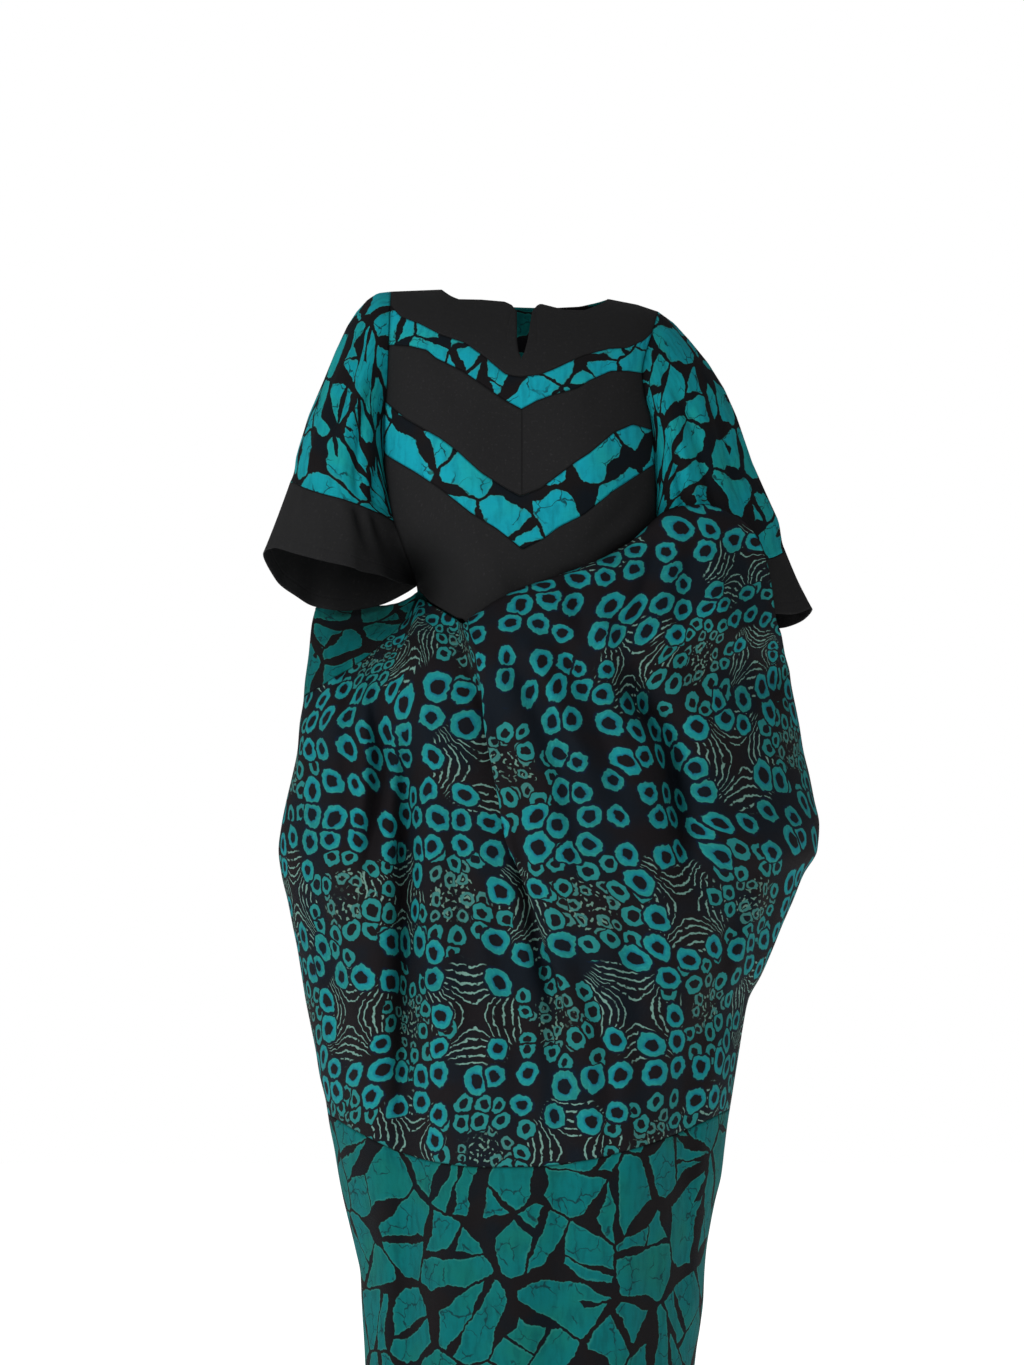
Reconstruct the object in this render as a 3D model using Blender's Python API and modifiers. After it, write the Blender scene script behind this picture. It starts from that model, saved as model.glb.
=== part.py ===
"""Grand boubou robe, worn: fifteen cloth pieces, each a thin closed wall.

Lengths in the tables are millimetres on the reading plane, the upright plane through the
mount. Columns are across (wearer's left is plus), up, and depth (plus is behind).
A point at some depth is moved along the line of sight, so the outline stays as it was read.
"""
import bisect
import math

import bmesh
import bpy

NAME = "grand_boubou_robe"
MM = 0.001
SIGHT_ACROSS = -0.0086
SIGHT_UP = -0.424
SIGHT_DISTANCE = 3.4
WALL = 0.002
HEM_LEVEL = -1.38
CENTRE = 0.0016
SEAM = 0.00035
SIDE_SEAM = 0.00045
ARMHOLE_TORSO = 0.0010
ARMHOLE_SLEEVE = 0.0022
SHOULDER_ROUND = 0.10
SHOULDER_CATCH = 0.0015
UNDERARM_ROUND = 0.035
LIP_ROUND = 0.068
UNDERARM_RIGHT = (-0.1112, -0.3218)
UNDERARM_LEFT = (0.1382, -0.3262)
SLIT_TOP = -0.0238
YOKE_ROWS = (0.0, 0.12, 0.28, 0.46, 0.62, 0.7077, 0.85, 1.0)

# up, across: the seams where the sleeves are set in
ARMHOLE_RIGHT = (
    (-2.2, -139.3), (-62.6, -141.5), (-108, -143.6), (-146.9, -146.9), (-183.6, -146.9),
    (-216, -143.1), (-246.2, -137.2), (-267.8, -129.6), (-293.8, -120.4), (-308.9, -115.6),
    (-321.8, -111.2), (-356.4, -109.1),
)
ARMHOLE_LEFT = (
    (-23.8, 149), (-48.6, 141.5), (-75.6, 133.4), (-89.6, 131.8), (-111.2, 133.9),
    (-141.5, 141.5), (-186.8, 145.8), (-233.3, 146.9), (-270, 145.8), (-302.4, 142),
    (-326.2, 138.2), (-356.4, 136.1),
)
# across, up: shoulder line, neckline and panel edges of the front
SHOULDER = (
    (-151.2, -3.2), (-139.3, -2.2), (-85.3, 0), (5.4, -4.3), (96.1, -10.3), (126.4, -16.2),
    (149, -23.8), (164.2, -30.2),
)
NECK_RIGHT = (
    (-139.3, -2.2), (-85.3, 0), (-77.8, -5.4), (-67, -10.3), (-41.6, -10.8), (-16.2, -13),
    (-8.6, -16.7), (-3.2, -23.8),
)
NECK_LEFT = (
    (13, -23.8), (17.3, -17.8), (22.1, -15.1), (47.5, -21.6), (70.2, -22.2), (85.9, -16.2),
    (96.1, -10.3), (126.4, -16.2), (149, -23.8),
)
YOKE_EDGE = (
    (-139.3, -17.3), (-128.5, -29.2), (-108, -36.7), (-85.3, -48.6), (-59.4, -57.2),
    (-36.7, -73.4), (-16.2, -90.7), (-7.6, -92.9), (1.6, -94), (10.8, -92.9), (21.6, -91.8),
    (37.8, -85.3), (68, -71.3), (96.1, -63.7), (116.6, -62.6), (135, -54), (146.9, -41),
)
CHEVRON_ONE_EDGE = (
    (-140.9, -59.4), (-118.8, -60.5), (-100.4, -64.8), (-90.7, -73.4), (-61.6, -87.5),
    (-44.3, -99.4), (-16.2, -118.8), (1.7, -128.5), (17.3, -119.9), (34.6, -113.4),
    (62.6, -105.8), (75.6, -97.2), (98.3, -87.5), (116.6, -87.5), (131.8, -89.6),
)
CHEVRON_TWO_TOP = (
    (-145.3, -121), (-136.1, -128.5), (-123.1, -139.3), (-87.5, -159.3), (-67, -174.5),
    (-41.6, -197.6), (-16.2, -213.8), (0.5, -223), (22.1, -214.9), (60.5, -185.8), (75.6, -176),
    (101.1, -154.4), (121.5, -145.3), (131.8, -148), (142.6, -151.2),
)
CHEVRON_TWO_EDGE = (
    (-146.9, -176), (-142.6, -179.3), (-112.9, -196.6), (-85.3, -214.9), (-54, -239.8),
    (-25.9, -257), (3.2, -280.3), (24.8, -268.9), (42.1, -256), (70.2, -241.9), (101.1, -216.6),
    (145.8, -187.3),
)
MIDRIFF_EDGE = (
    (-111.2, -322.9), (-97.2, -337), (-81, -346.7), (-67.5, -354.8), (-61.6, -355.3),
    (-43.2, -378), (1.1, -408.2), (43.2, -394.2), (97.2, -361.8), (138.2, -326.2),
)
BACK_NECK = (
    (-139.3, -2.2), (-85.3, 0), (-73.4, -7.6), (-54, -14.6), (-21.6, -18.4), (5.4, -19.4),
    (32.4, -20), (64.8, -18.4), (84.2, -14), (96.1, -10.3), (126.4, -16.2), (149, -23.8),
)
# up, across: the two sides of the neck slit
SLIT_RIGHT = (
    (0, -6.5), (-10.8, -5.9), (-23.8, -3.2), (-55.1, -3.2), (-67, -1.5), (-73.4, 1.6),
    (-97.2, 1.6),
)
SLIT_LEFT = (
    (0, 15.1), (-10.8, 14), (-23.8, 13), (-55.1, 8.1), (-67, 4.9), (-73.4, 1.6), (-97.2, 1.6),
)
# up, across: outline of the body below the sleeves, and the crest the ring cloth hangs from
BODY_OUTLINE_RIGHT = (
    (-334.8, -219.2), (-342.4, -220.3), (-361.8, -224.6), (-394.2, -227.9), (-426.6, -232.2),
    (-442.8, -233.3), (-469.8, -237.6), (-496.8, -239.8), (-523.8, -245.2), (-550.8, -251.6),
    (-577.8, -257), (-604.8, -260.3), (-631.8, -257), (-658.8, -250.6), (-685.8, -245.2),
    (-712.8, -239.8), (-739.8, -235.4), (-766.8, -231.1), (-793.8, -225.7), (-820.8, -220.3),
    (-847.8, -216), (-874.8, -209.5), (-901.8, -205.2), (-928.8, -199.8), (-955.8, -195.5),
    (-982.8, -190.1), (-1009.8, -183.6), (-1036.8, -177.1), (-1063.8, -171.7), (-1090.8, -170.6),
    (-1144.8, -167.4), (-1198.8, -165.2), (-1306.8, -162), (-1436.4, -158.8),
)
BODY_OUTLINE_LEFT = (
    (-231.1, 217.1), (-238.7, 223.6), (-248.4, 240.8), (-265.1, 254.9), (-286.8, 264.6),
    (-320.8, 272.2), (-356.4, 276.5), (-371.5, 281.9), (-394.2, 286.2), (-410.4, 290.5),
    (-426.6, 292.7), (-442.8, 295.9), (-469.8, 301.3), (-496.8, 305.6), (-523.8, 312.1),
    (-550.8, 317.5), (-577.8, 322.9), (-604.8, 320.8), (-631.8, 305.6), (-658.8, 294.8),
    (-685.8, 283), (-712.8, 272.2), (-739.8, 260.3), (-766.8, 246.2), (-793.8, 240.8),
    (-820.8, 236.5), (-847.8, 232.2), (-874.8, 227.9), (-901.8, 223.6), (-928.8, 220.3),
    (-955.8, 217.1), (-982.8, 210.6), (-1009.8, 205.2), (-1036.8, 200.9), (-1063.8, 198.7),
    (-1090.8, 197.6), (-1117.8, 194.4), (-1144.8, 190.1), (-1198.8, 184.7), (-1306.8, 177.1),
    (-1436.4, 169.6),
)
CREST = (
    (-334.8, -61.6), (-359.6, -61.6), (-388.8, -54), (-442.8, -37.8), (-496.8, -23.8),
    (-550.8, -13), (-588.6, -6.5), (-627.5, 7.6), (-665.3, 19.4), (-699.8, 27), (-732.2, 37.3),
    (-766.8, 47.2), (-793.8, 54.5), (-811.1, 59.4), (-842.4, 67), (-885.6, 71.3), (-945, 73.4),
    (-1090.8, 56.2), (-1252.8, 30.2), (-1436.4, 13),
)
# across, up: edges of the ring cloth and of the border
WEDGE_EDGE = (
    (-233.1, -439.6), (-216, -428.8), (-200.9, -419), (-181.4, -408.2), (-162, -394.2),
    (-142.6, -375.8), (-129.6, -364), (-119.9, -353.2),
)
BODY_TOP_RIGHT = (
    (-114.5, -341.3), (-109.1, -332.1), (-97.2, -339.1), (-81, -348.6), (-67.5, -356.7),
)
FRONT_SEAM = (
    (-210.6, -887.8), (-205.2, -891), (-172.8, -910.4), (-129.6, -931), (-86.4, -942.8),
    (-37.8, -947.7), (10.8, -947.2), (73.4, -939.6), (129.6, -925.6), (183.6, -905),
    (232.2, -881.3),
)
BACK_SEAM = (
    (-210.6, -887.8), (-129.6, -879.1), (-64.8, -874.8), (10.8, -872.6), (86.4, -874.8),
    (162, -879.1), (232.2, -881.3),
)
# across, up, depth: the lip of the raised cloth, and the folds under the arms
LIP = (
    (-55.6, -355.9, -150), (-29.2, -337.6, -152), (-3.2, -323.6, -150), (29.8, -312.1, -148),
    (60.5, -302, -144), (93.5, -287.9, -138), (121.5, -271.1, -128), (138.2, -254.9, -121),
    (153.4, -240.8, -118), (172.8, -233.8, -116), (202, -231.1, -115), (223.6, -238.7, -115),
    (240.8, -248.4, -115), (254.9, -265.1, -115), (264.6, -286.8, -114), (272.2, -320.8, -110),
    (276.5, -356.4, -96), (281.9, -371.5, -78), (286.2, -394.2, -34), (290.5, -411.5, 0),
)
RIDGE_RIGHT = (
    (-222.5, -342.4, 75), (-210.6, -341.3, 75), (-190.1, -341.3, 75), (-170.6, -341.3, 72),
    (-145.8, -340.7, 55), (-131.8, -338, 32), (-123.1, -334.3, 14), (-116.6, -330.5, 4),
    (-111.2, -326.2, 0),
)
RIDGE_LEFT = (
    (138.2, -326.2, 0), (143.6, -333.7, 4), (151.2, -342.4, 14), (159.8, -351, 32),
    (175, -360.7, 50), (194.4, -368.3, 62), (221.4, -373.7, 70), (248.4, -378, 70),
    (267.8, -384.5, 60), (279.7, -394.2, 42), (287.3, -403.9, 20), (290.5, -411.5, 1),
)
# up, depth: how far the cloth stands from the middle plane
FRONT_UNDER = (
    (-291.6, 143), (-358.6, 146), (-442.8, 160), (-588.6, 180), (-712.8, 191), (-831.6, 205),
    (-945, 195), (-1161, 176), (-1436.4, 165),
)
FRONT_OVER = (
    (-226.8, 162), (-291.6, 186), (-358.6, 212), (-442.8, 224), (-588.6, 227), (-712.8, 216),
    (-831.6, 206), (-945, 195), (-1161, 176), (-1436.4, 165),
)
BACK_DEPTH = (
    (0, 86), (-94, 96), (-172.8, 105), (-280.8, 103), (-356.4, 110), (-442.8, 121), (-588.6, 140),
    (-766.8, 150), (-945, 150), (-1161, 141), (-1436.4, 135),
)
# across, up: top line of each sleeve
SLEEVE_RIGHT_TOP = (
    (-139.3, -2.2), (-153.4, -3.8), (-164.2, -10.8), (-176, -23.8), (-185.8, -38.9),
    (-198.7, -67), (-211.7, -99.4), (-226.8, -135), (-237.6, -170.6), (-247.3, -207.4),
)
SLEEVE_LEFT_TOP = (
    (149, -23.8), (165.8, -36.2), (182.5, -55.1), (202, -79.9), (218.8, -108), (231.1, -137.2),
    (247.3, -187.9), (264.6, -229), (281.4, -267.8), (286.2, -281.9),
)
# turn, across, up, depth: loops at the seam and at the edge of each cuff
CUFF_SEAM_RIGHT = (
    (0.08, -148, -243, -97), (0.18, -167.4, -234.4, -116), (0.28, -191.2, -225.7, -125),
    (0.36, -213.8, -219.8, -120), (0.43, -233.3, -213.3, -100), (0.48, -244.1, -207.9, -76),
    (0.52, -247.9, -207.9, -52), (0.58, -244.1, -218.2, -18), (0.64, -235.4, -229, 10),
    (0.71, -221.4, -237.6, 34), (0.78, -203, -243, 52), (0.86, -178.2, -247.3, 66),
    (0.92, -158.8, -248.4, 74),
)
CUFF_EDGE_RIGHT = (
    (0.08, -124.2, -317.5, -48), (0.18, -151.2, -308.9, -98), (0.28, -179.3, -300.2, -127),
    (0.36, -210.6, -293.2, -128), (0.43, -241.9, -285.1, -106), (0.48, -268.4, -277.6, -68),
    (0.52, -274.3, -283, -40), (0.58, -272.2, -298.1, -12), (0.64, -262.4, -315.4, 8),
    (0.71, -243, -330.5, 24), (0.78, -220.3, -341.8, 34), (0.86, -190.1, -347.2, 40),
    (0.92, -151.2, -340.2, 38), (0.97, -125.3, -328.3, 24),
)
CUFF_SEAM_LEFT = (
    (0.08, 156.6, -265.7, -86), (0.18, 177.1, -273.2, -94), (0.28, 202, -281.9, -98),
    (0.36, 227.9, -288.4, -94), (0.43, 256, -291.6, -80), (0.48, 273.2, -288.9, -60),
    (0.52, 286.2, -281.9, -34), (0.58, 284, -291.6, -8), (0.64, 275.4, -298.1, 14),
    (0.71, 259.2, -301.3, 32), (0.78, 239.8, -299.2, 46), (0.86, 211.7, -290.5, 58),
    (0.92, 183.6, -278.6, 68),
)
CUFF_EDGE_LEFT = (
    (0.08, 151.2, -328.3, -44), (0.18, 178.2, -334.8, -76), (0.28, 210.6, -341.3, -92),
    (0.36, 243, -346.7, -93), (0.43, 275.4, -349.4, -78), (0.48, 298.1, -349.4, -54),
    (0.52, 311.6, -345.1, -28), (0.58, 312.8, -349.9, -8), (0.64, 306.7, -356.4, 10),
    (0.71, 284, -365, 28), (0.78, 253.8, -367.2, 40), (0.86, 221.4, -365, 44),
    (0.92, 185.8, -354.2, 38), (0.97, 155.5, -338, 24),
)
# path across and up, half width, depth in, start and end softness
FRONT_FOLDS = (
    ((110, -366, 113, -405, 136, -450, 159, -486, 168, -535, 178, -599, 185, -690), 24, 22),
    ((-130, -440, -120, -680, -122, -738, -129, -870, -128, -924, -128, -1040, -130, -1240), 26, 28),
    ((188, -760, 178, -945, 174, -1100, 172, -1220), 24, 20),
    ((-186, -380, -187, -560), 24, 12),
    ((-182, -880, -172, -1020, -168, -1180), 22, 12),
    ((20, -1010, 30, -1120, 34, -1300), 26, 10),
)
BACK_FOLDS = (
    ((-150, -420, -156, -800, -134, -1240), 30, 24),
    ((-70, -500, -78, -900, -66, -1330), 32, 18),
    ((10, -460, 4, -760, 12, -1060), 30, 24),
    ((84, -520, 92, -860, 80, -1300), 32, 20),
    ((160, -400, 168, -760, 136, -1180), 30, 24),
)


def smooth_step(value):
    """Ease a share from 0 to 1."""
    share = min(1.0, max(0.0, value))
    return share * share * (3.0 - 2.0 * share)


def track(table, key=0, value=1, rounded=False):
    """Read one column of a table along another, straight or rounded between its rows."""
    rows = sorted((row[key], row[value]) for row in table)
    keys = [row[0] for row in rows]
    values = [row[1] for row in rows]
    rise = [(values[i + 1] - values[i]) / (keys[i + 1] - keys[i]) for i in range(len(keys) - 1)]
    slope = [rise[0]]
    for before, after in zip(rise, rise[1:]):
        slope.append(0.0 if before * after <= 0.0 else 2.0 * before * after / (before + after))
    slope.append(rise[-1])

    def read(at):
        """Give the value at a key, held at the ends."""
        if at <= keys[0]:
            return values[0]
        if at >= keys[-1]:
            return values[-1]
        i = bisect.bisect_right(keys, at) - 1
        span = keys[i + 1] - keys[i]
        t = (at - keys[i]) / span
        if not rounded:
            return values[i] + (values[i + 1] - values[i]) * t
        left = (1.0 + 2.0 * t) * (1.0 - t) ** 2 * values[i] + t * (1.0 - t) ** 2 * span * slope[i]
        right = t * t * (3.0 - 2.0 * t) * values[i + 1] - t * t * (1.0 - t) * span * slope[i + 1]
        return left + right

    return read


def metres(table, columns=None):
    """Turn the length columns of a table from millimetres to metres."""
    return [tuple(v * MM if columns is None or k in columns else v for k, v in enumerate(row)) for row in table]


ARM_RIGHT = track(metres(ARMHOLE_RIGHT), rounded=True)
ARM_LEFT = track(metres(ARMHOLE_LEFT), rounded=True)
SHOULDER_UP = track(metres(SHOULDER))
SIDE_RIGHT = track(metres(BODY_OUTLINE_RIGHT), rounded=True)
SIDE_LEFT = track(metres(BODY_OUTLINE_LEFT), rounded=True)
CREST_ACROSS = track(metres(CREST), rounded=True)
UNDER = track(metres(FRONT_UNDER), rounded=True)
OVER = track(metres(FRONT_OVER), rounded=True)
BEHIND = track(metres(BACK_DEPTH), rounded=True)
RIDGE_RIGHT_UP = track(metres(RIDGE_RIGHT), rounded=True)
RIDGE_RIGHT_DEPTH = track(metres(RIDGE_RIGHT), value=2, rounded=True)
RIDGE_LEFT_UP = track(metres(RIDGE_LEFT), rounded=True)
RIDGE_LEFT_DEPTH = track(metres(RIDGE_LEFT), value=2, rounded=True)
FRONT_SEAM_UP = track(metres(FRONT_SEAM), rounded=True)
BACK_SEAM_UP = track(metres(BACK_SEAM), rounded=True)
LIP_POINTS = metres(LIP)


class Fold:
    """One soft trough that runs down a path."""

    def __init__(self, path, half_width, depth):
        """Keep the path as a track from up to across."""
        rows = [(path[i + 1] * MM, path[i] * MM) for i in range(0, len(path), 2)]
        self.across = track(rows, rounded=True)
        self.low = min(row[0] for row in rows)
        self.high = max(row[0] for row in rows)
        self.half = half_width * MM
        self.depth = depth * MM

    def at(self, u, w):
        """Give how far the trough lies in at a point."""
        if w >= self.high or w <= self.low:
            return 0.0
        fade = min(1.0, (self.high - w) / 0.09) * min(1.0, (w - self.low) / 0.14)
        off = (u - self.across(w)) / self.half
        return self.depth * smooth_step(fade) * math.exp(-off * off)


FRONT_TROUGHS = [Fold(*row) for row in FRONT_FOLDS]
BACK_TROUGHS = [Fold(*row) for row in BACK_FOLDS]


def place(u, w, y):
    """Move a point of the reading plane along the line of sight to its depth."""
    scale = 1.0 + y / SIGHT_DISTANCE
    return (SIGHT_ACROSS + (u - SIGHT_ACROSS) * scale, y, SIGHT_UP + (w - SIGHT_UP) * scale)


def underarm(u, w):
    """Give how much the underarm corners pull the cloth flat, 0 to 1."""
    pull = 0.0
    for across, up in (UNDERARM_RIGHT, UNDERARM_LEFT):
        reach = ((u - across) ** 2 + (w - up) ** 2) / UNDERARM_ROUND ** 2
        pull = max(pull, math.exp(-reach))
    return pull


def torso(u, w, back=False):
    """Give the depth of the upper body at a point, before its sign."""
    below = (SHOULDER_UP(u) - w) / SHOULDER_ROUND
    drop = 1.0 - min(1.0, max(0.0, below))
    curl = math.sqrt(max(0.0, 1.0 - drop * drop))
    left = ARM_LEFT(w)
    right = ARM_RIGHT(w)
    out = min(1.0, abs(2.0 * (u - right) / (left - right) - 1.0))
    seam = 0.078 if back else 0.085
    middle = BEHIND(w) if back else 0.130 + 0.017 * smooth_step(-w / 0.25)
    shape = seam + (middle - seam) * (1.0 - out ** 2.2) ** 0.6
    if not back:
        for chest in (-0.075, 0.072):
            shape += 0.010 * math.exp(-((u - chest) / 0.05) ** 2 - ((w + 0.165) / 0.06) ** 2)
    return curl * shape * (1.0 - 0.93 * underarm(u, w))


def wing(u, w):
    """Give the depth of the fold under an arm and how far the cloth has left it."""
    if u < UNDERARM_RIGHT[0]:
        inner = (UNDERARM_RIGHT[0] - u) / 0.054
        reach = 0.12
        up = RIDGE_RIGHT_UP(u)
        depth = RIDGE_RIGHT_DEPTH(u)
    else:
        inner = (u - UNDERARM_LEFT[0]) / 0.054
        reach = 0.12 - 0.08 * smooth_step((u - UNDERARM_LEFT[0]) / 0.14)
        up = RIDGE_LEFT_UP(u)
        depth = RIDGE_LEFT_DEPTH(u)
    below = max(0.0, up - w)
    near = 1.0 - math.exp(-(below / UNDERARM_ROUND) ** 2)
    far = math.sin(0.5 * math.pi * min(1.0, below / reach))
    corner = 0.006 * (1.0 - smooth_step((inner * 0.054) / 0.012))
    return depth, near + (far - near) * smooth_step(inner), corner


def front_under(u, w):
    """Give the depth of the lower front layer: torso, right side and skirt."""
    crest = CREST_ACROSS(w)
    side = SIDE_RIGHT(w) if u < crest else SIDE_LEFT(w)
    out = min(1.0, abs((u - crest) / (side - crest)))
    low = UNDER(w) * math.sqrt(max(0.0, 1.0 - out ** 2.2))
    low -= sum(fold.at(u, w) for fold in FRONT_TROUGHS) * min(1.0, 3.0 * (1.0 - out))
    if w < -0.52:
        return -low
    blend = smooth_step((-0.335 - w) / 0.07)
    if u >= UNDERARM_RIGHT[0]:
        return -(torso(u, w) * (1.0 - blend) + low * (1.0 - 0.93 * underarm(u, w)) * blend)
    depth, away, corner = wing(u, w)
    full = 0.085 * (1.0 - blend) + low * blend
    full = min(full, 0.002 + UNDER(w) * math.sqrt(max(0.0, 1.0 - out ** 2.2)) * 1.0)
    return (depth - corner) * (1.0 - away) - full * away


def lip_near(u, w):
    """Give the distance to the lip of the raised cloth and the depth of the lip there."""
    best = (9.0, 0.0)
    for a, b in zip(LIP_POINTS, LIP_POINTS[1:]):
        du = b[0] - a[0]
        dw = b[1] - a[1]
        t = ((u - a[0]) * du + (w - a[1]) * dw) / (du * du + dw * dw)
        t = min(1.0, max(0.0, t))
        far = math.hypot(u - a[0] - du * t, w - a[1] - dw * t)
        if far < best[0]:
            best = (far, a[2] + (b[2] - a[2]) * t)
    return best


def front_over(u, w):
    """Give the depth of the raised layer that lies over the left sleeve."""
    crest = CREST_ACROSS(w)
    out = min(1.0, max(0.0, (u - crest) / (SIDE_LEFT(w) - crest)))
    edge = -0.10 * smooth_step((w + 0.411) / 0.05)
    round_out = math.sqrt(max(0.0, 1.0 - out ** 2.2))
    full = edge * (1.0 - round_out) - OVER(w) * round_out
    full += sum(fold.at(u, w) for fold in FRONT_TROUGHS) * min(1.0, 3.0 * (1.0 - out))
    far, lip = lip_near(u, w)
    if u < 0.145:
        lip = min(lip, -torso(u, w) - 0.007)
    curl = 1.0 - min(1.0, far / LIP_ROUND)
    curl = math.sqrt(1.0 - curl * curl)
    return lip + (full - lip) * curl


def back_depth(u, w):
    """Give the depth of the back at a point below the shoulders."""
    right = SIDE_RIGHT(w)
    left = SIDE_LEFT(w)
    middle = 0.5 * (left + right)
    out = min(1.0, abs(2.0 * (u - middle) / (left - right)))
    low = BEHIND(w) * math.sqrt(max(0.0, 1.0 - out ** 2.1))
    low -= sum(fold.at(u, w) for fold in BACK_TROUGHS) * min(1.0, 3.0 * (1.0 - out))
    blend = smooth_step((-0.335 - w) / 0.08)
    if w < -0.52:
        return low
    if UNDERARM_RIGHT[0] <= u <= UNDERARM_LEFT[0]:
        return torso(u, w, True) * (1.0 - blend) + low * (1.0 - 0.93 * underarm(u, w)) * blend
    depth, away, corner = wing(u, w)
    full = 0.078 * (1.0 - blend) + low * blend
    full = min(full, 0.002 + BEHIND(w) * math.sqrt(max(0.0, 1.0 - out ** 2.1)))
    return (depth + corner) * (1.0 - away) + full * away


def torso_share(table):
    """Turn a panel edge into a track from the share off the centre line to its height."""
    rows = []
    for u, w in metres(table):
        arm = ARM_LEFT(w) if u > CENTRE else ARM_RIGHT(w)
        share = (u - CENTRE) / (arm - CENTRE)
        rows.append((share if u > CENTRE else -share, w))
    return track(rows)


def torso_across(share, w):
    """Give the place across of a share off the centre line at a height."""
    if share < 0.0:
        return CENTRE - (ARM_RIGHT(w) + ARMHOLE_TORSO - CENTRE) * share
    return CENTRE + (ARM_LEFT(w) - ARMHOLE_TORSO - CENTRE) * share


def neck_share(table, middle, left_side):
    """Turn one half of the neckline into a track from the share off the slit to its height."""
    rows = []
    for u, w in metres(table):
        arm = ARM_LEFT(w) if left_side else ARM_RIGHT(w)
        rows.append(((u - middle) / (arm - middle), w))
    return track(rows)


def grid_object(name, columns, rows, spot, collection, material):
    """Make one cloth piece: a grid moved point by point onto its shape, then given a wall.

    Args:
        name: name of the piece.
        columns: how many cells across.
        rows: how many cells down.
        spot: gives the place of a point from its column and row.
        collection: collection the piece goes into.
        material: material of the piece.
    """
    mesh = bmesh.new()
    add_grid(mesh, columns, rows, spot)
    return finish_object(name, mesh, collection, material)


def add_grid(mesh, columns, rows, spot):
    """Add one grid to a mesh and move its points onto their places."""
    made = bmesh.ops.create_grid(mesh, x_segments=columns, y_segments=rows, size=0.5)
    for vert in made["verts"]:
        column = round((vert.co.x + 0.5) * columns)
        row = round((0.5 - vert.co.y) * rows)
        vert.co = spot(column, row)


def finish_object(name, mesh, collection, material):
    """Join equal points, face the sheet one way and give it its wall."""
    bmesh.ops.remove_doubles(mesh, verts=mesh.verts, dist=0.00001)
    bmesh.ops.recalc_face_normals(mesh, faces=mesh.faces)
    for face in mesh.faces:
        face.smooth = True
    data = bpy.data.meshes.new(name)
    mesh.to_mesh(data)
    mesh.free()
    data.materials.append(material)
    piece = bpy.data.objects.new(name, data)
    collection.objects.link(piece)
    wall = piece.modifiers.new("wall", "SOLIDIFY")
    wall.thickness = WALL
    wall.offset = 0.0
    wall.use_even_offset = False
    wall.use_rim = True
    return piece


def cloth(name, colour):
    """Make one plain material for a piece."""
    material = bpy.data.materials.new(name)
    material.use_nodes = True
    shader = material.node_tree.nodes["Principled BSDF"]
    shader.inputs["Base Color"].default_value = (*colour, 1.0)
    shader.inputs["Roughness"].default_value = 0.85
    return material


def on_shoulder(u, w):
    """Put a height that is close to the shoulder line onto it."""
    line = SHOULDER_UP(u)
    return line if abs(line - w) < SHOULDER_CATCH else w


def panel(name, top, bottom, columns, rows, collection, material):
    """Make a torso panel between two edges that run from armhole to armhole."""

    def spot(column, row):
        """Place one point of the panel."""
        share = 2.0 * column / columns - 1.0
        high = top(share)
        low = bottom(share)
        w = high + (low - high) * row / rows
        u = torso_across(share, w)
        return place(u, w, -torso(u, w) - SIDE_SEAM)

    return grid_object(name, columns, rows, spot, collection, material)


def yoke(collection, material):
    """Make the front yoke from two halves that meet below the neck slit."""
    mesh = bmesh.new()
    rows = len(YOKE_ROWS) - 1
    edge = torso_share(YOKE_EDGE)
    for left_side in (False, True):
        slit = track(metres(SLIT_LEFT if left_side else SLIT_RIGHT))
        top = neck_share(NECK_LEFT if left_side else NECK_RIGHT, slit(SLIT_TOP), left_side)
        inner = [slit(SLIT_TOP + (edge(0.0) + SEAM - SLIT_TOP) * part) for part in YOKE_ROWS]

        def spot(column, row, inner=inner, top=top, left_side=left_side):
            """Place one point of this half."""
            share = column / 9.0
            end = 1.0 if left_side else -1.0
            high = top(share)
            high = on_shoulder(inner[0] + (torso_across(end, high) - inner[0]) * share, high)
            low = edge(share * end) + SEAM
            w = high + (low - high) * YOKE_ROWS[row]
            arm = torso_across(end, w)
            u = inner[row] + (arm - inner[row]) * share
            return place(u, w, -torso(u, w) - SIDE_SEAM)

        add_grid(mesh, 9, rows, spot)
    return finish_object("front_yoke", mesh, collection, material)


def along(points, share):
    """Give the point at a share of the length of a path."""
    steps = [math.dist(a[:2], b[:2]) for a, b in zip(points, points[1:])]
    left = share * sum(steps)
    for a, b, step in zip(points, points[1:], steps):
        if left <= step or b is points[-1]:
            t = min(1.0, left / step)
            return tuple(p + (q - p) * t for p, q in zip(a, b))
        left -= step
    return points[-1]


def right_side(collection, material):
    """Make the wedge of the front that shows under the right cuff."""
    ridge = [row[:2] for row in metres(RIDGE_RIGHT)]
    edge = metres(WEDGE_EDGE)
    columns, rows = WEDGE_COLUMNS, 7

    def spot(column, row):
        """Place one point of the wedge."""
        share = column / columns
        a = along(ridge, share)
        b = along(edge, share)
        t = row / rows
        w = a[1] - 0.0012 + (b[1] + SEAM - a[1] + 0.0012) * t
        u = a[0] + (b[0] - a[0]) * t
        u = SIDE_RIGHT(w) + (u - SIDE_RIGHT(w)) * (1.0 if column else 0.0)
        ease = 0.0030 * max(0.0, 1.0 - 3.0 * t) + (0.0012 if column == 0 else 0.0)
        return place(u, w, front_under(u, w) - SIDE_SEAM - ease)

    return grid_object("front_side_right", columns, rows, spot, collection, material)


WEDGE_COLUMNS = 10
BODY_LEFT = 14
BODY_RIGHT = 20
FOLD_TURNS = (-1.0, -0.5, 0.0, 0.5, 1.0)


def body_column(column, left, right):
    """Tell which zone of the front body a column lies in and where in it."""
    if column < left:
        return "left", column / left
    if column <= left + 4:
        return "fold", FOLD_TURNS[column - left]
    return "right", (column - left - 4) / right


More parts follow.
